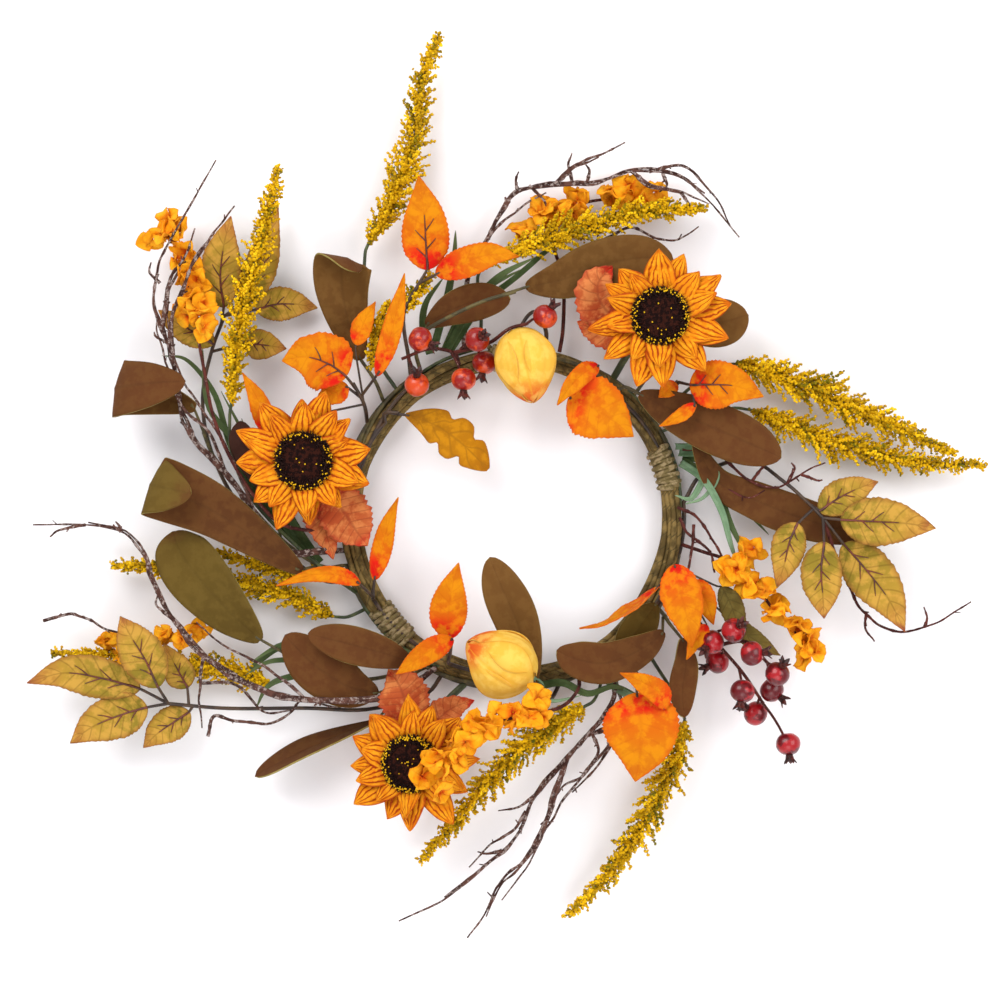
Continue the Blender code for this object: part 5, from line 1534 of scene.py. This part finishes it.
def make_berries(name, cluster, finish):
    routes, parts = [], []
    for number, branch in enumerate(cluster["branches"]):
        spots = [place(spot) for spot in branch]
        if number == 0:
            spots.insert(0, root_of(cluster, TWIG_RADIUS))
        routes.append(tapered(smooth(spots, 6), TWIG_RADIUS, TWIG_RADIUS * 0.8))
    for number, (stalk, centre, tip) in enumerate(cluster["berries"]):
        middle = place(centre)
        outwards = Vector((tip[0], -tip[2], tip[1])).normalized()
        bend = place(stalk).lerp(middle, 0.5) + Vector((0, 0, 1.5 * MM))
        routes.append(tapered(smooth([place(stalk), bend, middle], 5), TWIG_RADIUS * 0.7,
                              TWIG_RADIUS * 0.6))
        berry = ball(name, 28, 18)
        points = points_of(berry)
        turn = turn_to(outwards, BERRY_RADIUS * 0.97 * MM, BERRY_RADIUS * 1.02 * MM)
        height = points[:, 2]
        dimple = 1 - 0.12 * np.exp(-((1 - np.abs(height)) / 0.05) ** 2)
        lumps = np.array([noise.noise(Vector(p) * 1.6 + Vector((number * 5, 0, 0))) for p in points])
        points = (points * (dimple * (1 + 0.035 * lumps))[:, None]) @ turn.T + np.array(middle)
        parts.append(shaped(berry, points, MATERIALS[finish]))
        side = outwards.orthogonal().normalized()
        for leaf in range(5):
            away = Quaternion(outwards, leaf * 2 * math.pi / 5) @ side
            base = middle + outwards * (BERRY_RADIUS * 0.90 * MM) + away * (0.4 * MM)
            bend, tip_end = outwards * 2.8 + away * 1.2, outwards * 5.2 + away * 3.6
            line = smooth([base, base + bend * MM, base + tip_end * MM], 4)
            lay = lay_of(line, 1.75, "sepal", (0, 0), leaf, side=(line[1] - line[0]).cross(away))
            parts.append(blade(name, lay, "sepal", 8, cloths_of("sepal")))
        neck = [middle + outwards * (BERRY_RADIUS * share * MM) for share in (0.86, 1.02, 1.16)]
        routes.append(list(zip(neck, (2.0, 1.7, 1.9))))
    parts.append(rods(name, routes, MATERIALS["red_twig"], 2))
    if name in SMALL_TWIGS:
        parts.append(twig_rods(name, SMALL_TWIGS[name], 1.0, 0.6, "red_twig"))
    piece = join(name + "_cluster", parts)
    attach(piece, "root")
    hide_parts(name)


# Lantern fruit: where each of its sepals starts and half how far it reaches, in radians, and its lift

SEPALS = ((2.9, 1.35, 0.0), (-1.55, 1.2, 0.3), (1.25, 1.35, 0.9), (-0.35, 1.1, 1.5))


def lantern_sepal(name, centre, axis, width, length, start, span, lift, seed):
    """One papery sepal that wraps round the fruit from its stalk to its tip."""
    deselect()
    bpy.ops.mesh.primitive_grid_add(x_subdivisions=26, y_subdivisions=34, size=2)
    piece = named(name)
    flat = points_of(piece)
    across, along = flat[:, 0], (flat[:, 1] + 1) / 2
    first = axis.orthogonal().normalized()
    second = axis.cross(first)
    outline = np.sin(np.pi * np.clip(along, 0.004, 0.996) ** 0.9) ** 0.42
    angle = start + across * span * outline
    body = np.sin(np.pi * np.clip(along * 0.985 + 0.012, 0, 1) ** 0.82) ** 0.66
    veins = 0.18 * np.cos(across * 26 + 2.0 * along)
    seam = -0.9 * np.exp(-(across / 0.07) ** 2) * np.sin(np.pi * along)
    crumple = crumples(across * 2.2, along * 3.0, seed)
    flare = 1.6 * np.abs(across) ** 6 * np.sin(np.pi * along)
    fold = lift + veins + seam + 0.8 * crumple + flare
    radius = (width * body + fold * np.minimum(body * 1.6, 1)) * MM
    radius = np.maximum(radius, 0.15 * MM)
    height = (along * 2 - 1) * length * MM
    spots = np.array(centre)
    for amount, way in ((height, axis), (radius * np.cos(angle), first), (radius * np.sin(angle), second)):
        spots = spots + np.outer(amount, np.array(way))
    move_points(piece, spots)
    set_map(piece, (across + 1) / 2, along)
    wear(piece, *cloths_of("lantern"))
    finish_modifier(piece, "SOLIDIFY", thickness=0.5 * MM, offset=0, material_offset=1,
                    material_offset_rim=2)
    smooth_shading(piece)
    return piece


def make_lantern(name, fruit, front_turn):
    centre = place(fruit["centre"])
    right, up, forward = fruit["tip"]
    axis = Vector((right, -forward, up)).normalized()
    width, length = fruit["half_width"] * 0.93, fruit["half_length"]
    facing = axis.orthogonal().normalized()
    second = axis.cross(facing)
    front = math.atan2(TOWARDS_VIEWER.dot(second), TOWARDS_VIEWER.dot(facing))
    parts = []
    for number, (turn, span, lift) in enumerate(SEPALS):
        start = front + front_turn + turn
        parts.append(lantern_sepal(name, centre, axis, width, length, start, span, lift, number * 3.7))
    bud = ball(name, 24, 16)
    turn = turn_to(axis, length * 0.95 * MM, width * 0.72 * MM)
    parts.append(shaped(bud, points_of(bud) @ turn.T + np.array(centre), MATERIALS["lantern_cloth"]))
    top, inside = (centre - axis * (length * share * MM) for share in (0.94, 0.7))
    way = [root_of(fruit, STEM_RADIUS), *[place(spot) for spot in fruit["stem"]], top, inside]
    parts.append(rods(name, [tapered(smooth(way, 6), STEM_RADIUS, 1.0)], MATERIALS["brown_stem"], 2))
    piece = join(name + "_paper", parts)
    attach(piece, "root")
    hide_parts(name)


# Blossoms: how far a floret may stand from its place, right, back and up, in millimetres

FLORET_JITTER = ((-5.6, 5.6), (-3.0, 1.0), (-5.6, 5.6))


def florets_at(name, spots, size=1.0):
    """Crumpled four-petalled florets, two at each place."""
    parts = []
    for number, spot in enumerate(spots):
        chance = random.Random(int(spot[0] * 7 + spot[1] * 3) + number)
        for floret in range(2):
            jitter = Vector([chance.uniform(low, high) for low, high in FLORET_JITTER]) * (MM * size)
            centre = place(spot) + jitter + TOWARDS_VIEWER * (0.5 * MM)
            facing = Vector((chance.gauss(0, 0.8), -1, chance.gauss(0, 0.8))).normalized()
            first = facing.orthogonal().normalized()
            begin = chance.uniform(0, math.pi)
            for petal in range(4):
                away = Quaternion(facing, begin + petal * math.pi / 2) @ first
                reach = chance.uniform(6.4, 11.6) * size
                middle = away * reach * 0.55 + facing * chance.uniform(0.4, 3.2)
                tip = away * reach + facing * chance.uniform(-2.4, 3.4)
                line = smooth([centre + away * (0.5 * MM), centre + middle * MM, centre + tip * MM], 4)
                half_width = chance.uniform(4.0, 6.2) * size
                rolls = (chance.uniform(-35, 35), chance.uniform(-35, 35))
                lay = lay_of(line, half_width, "floret", rolls, number + petal * 3 + floret,
                             side=(line[1] - line[0]).cross(facing))
                parts.append(blade(name, lay, "floret", 8, cloths_of("floret")))
    return parts


def make_blossoms(name, spray):
    line = smooth([root_of(spray, TWIG_RADIUS)] + [place(spot) for spot in spray["stem"]], 6)
    parts = [rods(name, [tapered(line, TWIG_RADIUS, TWIG_RADIUS * 0.7)], MATERIALS["red_twig"], 1)]
    parts += florets_at(name, [*spray["blossoms"], *SMALL_BLOSSOMS.get(name, [])])
    piece = join(name + "_florets", parts)
    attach(piece, "root")
    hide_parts(name)


# Grass

# Tufts whose every other blade is pale
SAGE_TUFTS = ("grass_right", "grass_bottom")


def make_grass(name, straps):
    parts = []
    for number, spots in enumerate(straps):
        line = smooth([place(spot) for spot in spots], SHAPES["grass"]["steps"])
        lay = lay_of(line, 1.9 + 0.3 * (number % 3), "grass", (20 - 25 * (number % 3), 10), number)
        cloth = "sage" if name in SAGE_TUFTS and number % 2 == 0 else "grass"
        parts.append(blade(name, lay, "grass", len(line) - 1, cloths_of(cloth)))
    piece = join(name, parts)
    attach(piece, "root")


# Sunflowers

# How many yellow specks each seed head has
SPECKS = {"right": 150, "left": 90, "bottom": 230}
SEEDS_IN_FRINGE = 760
DOME_HEIGHT = 5.6
DOME_RADIUS = 16.2
DISC_RADIUS = 17.5
SOCKET_RADIUS = 4.1

# More rust leaves behind a head: midrib and half width
BACK_LEAVES = {
    "left": [([(-114, 24, 24), (-111, 8, 27), (-108, -8, 28), (-104, -24, 26)], 12)],
    "bottom": [([(-52, -128, 22), (-44, -118, 26), (-34, -110, 28), (-22, -106, 27)], 10)],
    "right": [([(74, 106, 22), (58, 106, 26), (46, 110, 27), (38, 114, 25)], 9)],
}

# Each whorl: how many petals, how far they reach, the turn of the first one, and half their width
WHORLS = {"outer": (12, 43.0, 0.1, 8.0), "inner": (10, 35.5, 0.32, 7.4)}


def make_whorl(name, flower_name, whorl, matrix, body):
    """A ring of ridged petals that lift forward to their tips, each one a little different."""
    count, reach, first_turn, half_width = WHORLS[whorl]
    chance = random.Random(len(flower_name) * 17 + count * 5 + int(reach))
    parts = []
    for number in range(count):
        turn = first_turn + 2 * math.pi * number / count + chance.uniform(-0.13, 0.13)
        rise = HEAD_DEPTHS[whorl] + 0.8 * (number % 2)
        away = Vector((math.cos(turn), 0, math.sin(turn)))
        full = reach * chance.uniform(0.80, 1.0)
        curl = chance.uniform(-2.6, 3.4)
        stops = [(9.5, 0.0), (15.0, 0.2), (full * 0.55, 1.8 + curl * 0.3), (full * 0.80, 3.4 + curl * 0.7),
                 (full, 4.0 + curl)]
        line = smooth([(away * r + TOWARDS_VIEWER * (rise + lift)) * MM for r, lift in stops], 5)
        rolls = (chance.uniform(-14, 14), chance.uniform(-42, 42))
        lay = lay_of(line, half_width * chance.uniform(0.86, 1.15), "petal", rolls, number * 3 + count)
        parts.append(blade(name, lay, "petal", 24, cloths_of("petal")))
    piece = join(name, parts)
    piece.data.transform(matrix)
    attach(piece, body)
    return piece


def make_seed_head(name, matrix, body, spike):
    """A flocked dome with a fringe of seeds round it, some of them tipped with yellow."""
    chance = random.Random(len(name) * 11)
    dome = ball(name, 48, 24)
    points = points_of(dome) @ turn_to(TOWARDS_VIEWER, DOME_HEIGHT, DOME_RADIUS).T
    rough = np.array([noise.noise(Vector(p) * 0.9) for p in points])
    sink = 1.1 * np.exp(-((points[:, 0] ** 2 + points[:, 2] ** 2) / 30))
    points[:, 1] = points[:, 1] - HEAD_DEPTHS["disc"] + sink + 0.45 * rough
    shaped(dome, points * MM, MATERIALS["seed_flock"])
    places, turns, tones = [], [], []
    for number in range(SEEDS_IN_FRINGE):
        share = chance.random() ** 0.7
        r = 11.2 + 5.4 * share
        a = number * GOLDEN_ANGLE
        out = Vector((math.cos(a), 0, math.sin(a)))
        base = out * r + TOWARDS_VIEWER * (HEAD_DEPTHS["disc"] + 4.4 - 3.6 * share ** 2)
        lean = TOWARDS_VIEWER * (1.2 - 0.5 * share) + out * (0.35 + 0.8 * share) + scattered(chance, 0.25)
        places.append(tuple(base * MM))
        turns.append(turn_to(lean, chance.uniform(1.1, 1.9) * MM, 0.42 * MM))
        tones.append(chance.random() * (0.5 + 0.42 * share))
    fringe = scatter(name, spike, places, turns, tones, MATERIALS["seed_spike"])
    places, turns, tones = [], [], []
    for number in range(SPECKS[name[:name.index("_")]]):
        share = chance.random()
        at_rim = number % 8 > 0
        r = 13.6 + 3.0 * share if at_rim else 14.0 * math.sqrt(chance.random())
        a = chance.uniform(0, 2 * math.pi)
        out = Vector((math.cos(a), 0, math.sin(a)))
        lift = 5.4 - 1.8 * share if at_rim else 5.9 * math.sqrt(max(0.05, 1 - (r / DISC_RADIUS) ** 2))
        depth = HEAD_DEPTHS["disc"] + lift
        places.append(tuple((out * r + TOWARDS_VIEWER * depth) * MM))
        turns.append(turn_to(scattered(chance, 1), 0.55 * MM, 0.45 * MM))
        tones.append(chance.uniform(0.8, 1.0))
    pollen = scatter(name, spike, places, turns, tones, MATERIALS["seed_spike"])
    ends = [(TOWARDS_VIEWER * (depth * MM), SOCKET_RADIUS) for depth in (0.3, HEAD_DEPTHS["disc"] - 1)]
    socket = rods(name, [ends], MATERIALS["green_stem"], 3)
    piece = join(name, [dome, fringe, pollen, socket])
    piece.data.transform(matrix)
    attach(piece, body)
    return piece


def make_sunflower(name, flower, spike):
    """A head of two whorls and a disc, which turns, and the stem with its peg and rust leaves."""
    centre = place(flower["centre"])
    turn = math.radians(flower["turn"])
    matrix = Matrix.Translation(centre) @ Matrix.Rotation(turn, 4, "Z")
    body = f"sunflower_{name}_head"
    outer = make_whorl(f"{name}_outer_whorl", name, "outer", matrix, body)
    inner = make_whorl(f"{name}_inner_whorl", name, "inner", matrix, body)
    disc = make_seed_head(f"{name}_seed_head", matrix, body, spike)
    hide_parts(f"sunflower_{name}_outer_petals")
    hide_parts(f"sunflower_{name}_inner_petals")
    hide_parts(f"sunflower_{name}_seed_disc")
    facing = Matrix.Rotation(turn, 3, "Z") @ TOWARDS_VIEWER
    peg = [centre + facing * (depth * MM) for depth in (4.4, -0.3, -0.5, -2.5, -5.0)]
    way = [peg[-1], *[place(spot) for spot in flower["stem"][::-1]], root_of(flower, 2.1)]
    neck = smooth(way, 6)[1:]
    route = list(zip(peg + neck, [1.5, 1.5, 7.0, 5.6, 2.4] + [2.1] * len(neck)))
    parts = [rods(name, [route], MATERIALS["green_stem"], 4)]
    parts += leaf_of(name, "rust", "rust", flower["leaf"][1:], 15, (0, 0), len(name), False)
    for number, (midrib, half_width) in enumerate(BACK_LEAVES.get(name, [])):
        parts += leaf_of(name, "rust", "rust", midrib, half_width, (0, 0), number + 4, False)
    piece = join(f"{name}_flower_stem", parts)
    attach(piece, "root")
    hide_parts(f"sunflower_{name}_stem")


# Everything

for number in range(3):
    make_strand(number)
for name, settings in BANDS.items():
    make_band(name, *settings)
wear(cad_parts["ring_hoop_wire"], MATERIALS["hoop_steel"])
for name, pick in MAGNOLIA_SPRAYS.items():
    make_leaf_pick(name, pick, "magnolia", MAGNOLIA_FRONTS[name], "olive_stem")
for kind, picks in (("orange", ORANGE_PICKS), ("green", GREEN_SPRAYS), ("oak", OAK_LEAVES)):
    for name, pick in picks.items():
        make_leaf_pick(name, pick, kind, kind, "brown_stem")
grain = pattern_of(bpy.ops.mesh.primitive_ico_sphere_add, subdivisions=1, radius=1)
for name, pick in GOLDENRODS.items():
    make_goldenrod(name, pick, grain)
bpy.data.objects.remove(grain)
for name, pick in TWIGS.items():
    make_twig(name, pick)
make_berries("berries_top", BERRY_CLUSTERS["berries_top"], "berry_orange")
make_berries("berries_lower_right", BERRY_CLUSTERS["berries_lower_right"], "berry_crimson")
make_lantern("lantern_fruit_top", LANTERNS["lantern_fruit_top"], 0.35)
make_lantern("lantern_fruit_bottom", LANTERNS["lantern_fruit_bottom"], 0.0)
for name, spray in BLOSSOM_SPRAYS.items():
    make_blossoms(name, spray)
for name, straps in GRASSES.items():
    make_grass(name, straps)
spike = pattern_of(bpy.ops.mesh.primitive_ico_sphere_add, subdivisions=1, radius=1)
for name, flower in SUNFLOWERS.items():
    make_sunflower(name, flower, spike)
bpy.data.objects.remove(spike)


# Camera, light and backdrop

LENS_MM = 135.0
SENSOR_MM = 36.0
VIEW_WIDTH = 0.58
VIEW_PLANE = -0.030
VIEW_CENTRE = (-0.007, -0.0759)
LIGHTS_AIM = Vector((0, 0, -0.1))


def make_camera():
    data = bpy.data.cameras.new("front_camera")
    data.lens = LENS_MM
    data.sensor_width = SENSOR_MM
    data.clip_end = 20
    camera = bpy.data.objects.new("front_camera", data)
    bpy.context.scene.collection.objects.link(camera)
    distance = VIEW_WIDTH * LENS_MM / SENSOR_MM
    camera.location = (VIEW_CENTRE[0], VIEW_PLANE - distance, VIEW_CENTRE[1])
    camera.rotation_euler = (math.radians(90), 0, 0)
    bpy.context.scene.camera = camera


def backdrop_material(name, colour_code, one_sided):
    """Plain pale paint. A one-sided wall lets the views from behind see through it."""
    made, tree, shader = bare_material(name)
    shader.inputs["Base Color"].default_value = paint(colour_code)
    shader.inputs["Roughness"].default_value = 0.9
    if one_sided:
        clear = add(tree, "BsdfTransparent")
        facing = add(tree, "NewGeometry").outputs["Backfacing"]
        blend = add(tree, "MixShader", {0: facing, 1: shader.outputs["BSDF"], 2: clear.outputs["BSDF"]})
        tree.links.new(blend.outputs["Shader"], tree.nodes["Material Output"].inputs["Surface"])
    return made


def make_backdrop():
    deselect()
    bpy.ops.mesh.primitive_plane_add(size=6, location=(0, 0.0035, 0), rotation=(math.radians(90), 0, 0))
    wall = named("wall")
    wear(wall, backdrop_material("wall_paint", "#f6f4f5", True))
    deselect()
    bpy.ops.mesh.primitive_plane_add(size=6, location=(0, -0.6, -1.3))
    floor = named("floor")
    wear(floor, backdrop_material("floor_paint", "#f4f2f2", False))
    for piece in (wall, floor):
        piece.visible_transmission = False


def make_light(name, place_at, size, power):
    data = bpy.data.lights.new(name, "AREA")
    data.shape = "SQUARE"
    data.size = size
    data.energy = power
    lamp = bpy.data.objects.new(name, data)
    bpy.context.scene.collection.objects.link(lamp)
    lamp.location = place_at
    lamp.rotation_euler = (LIGHTS_AIM - Vector(place_at)).to_track_quat("-Z", "Y").to_euler()


def make_world():
    world = bpy.data.worlds.new("pale_studio")
    bpy.context.scene.world = world
    world.use_nodes = True
    back = world.node_tree.nodes["Background"]
    back.inputs["Color"].default_value = paint("#f2f3f8")
    back.inputs["Strength"].default_value = 0.62


make_camera()
make_backdrop()
make_world()
make_light("key", (-0.9, -1.5, 1.1), 1.3, 30)
make_light("fill", (1.2, -1.4, 0.3), 1.2, 16)
make_light("low_fill", (0.0, -1.4, -1.0), 1.0, 7)
make_light("back_fill", (0.3, 1.4, 0.8), 1.2, 12)
bpy.context.scene.view_settings.view_transform = "Standard"
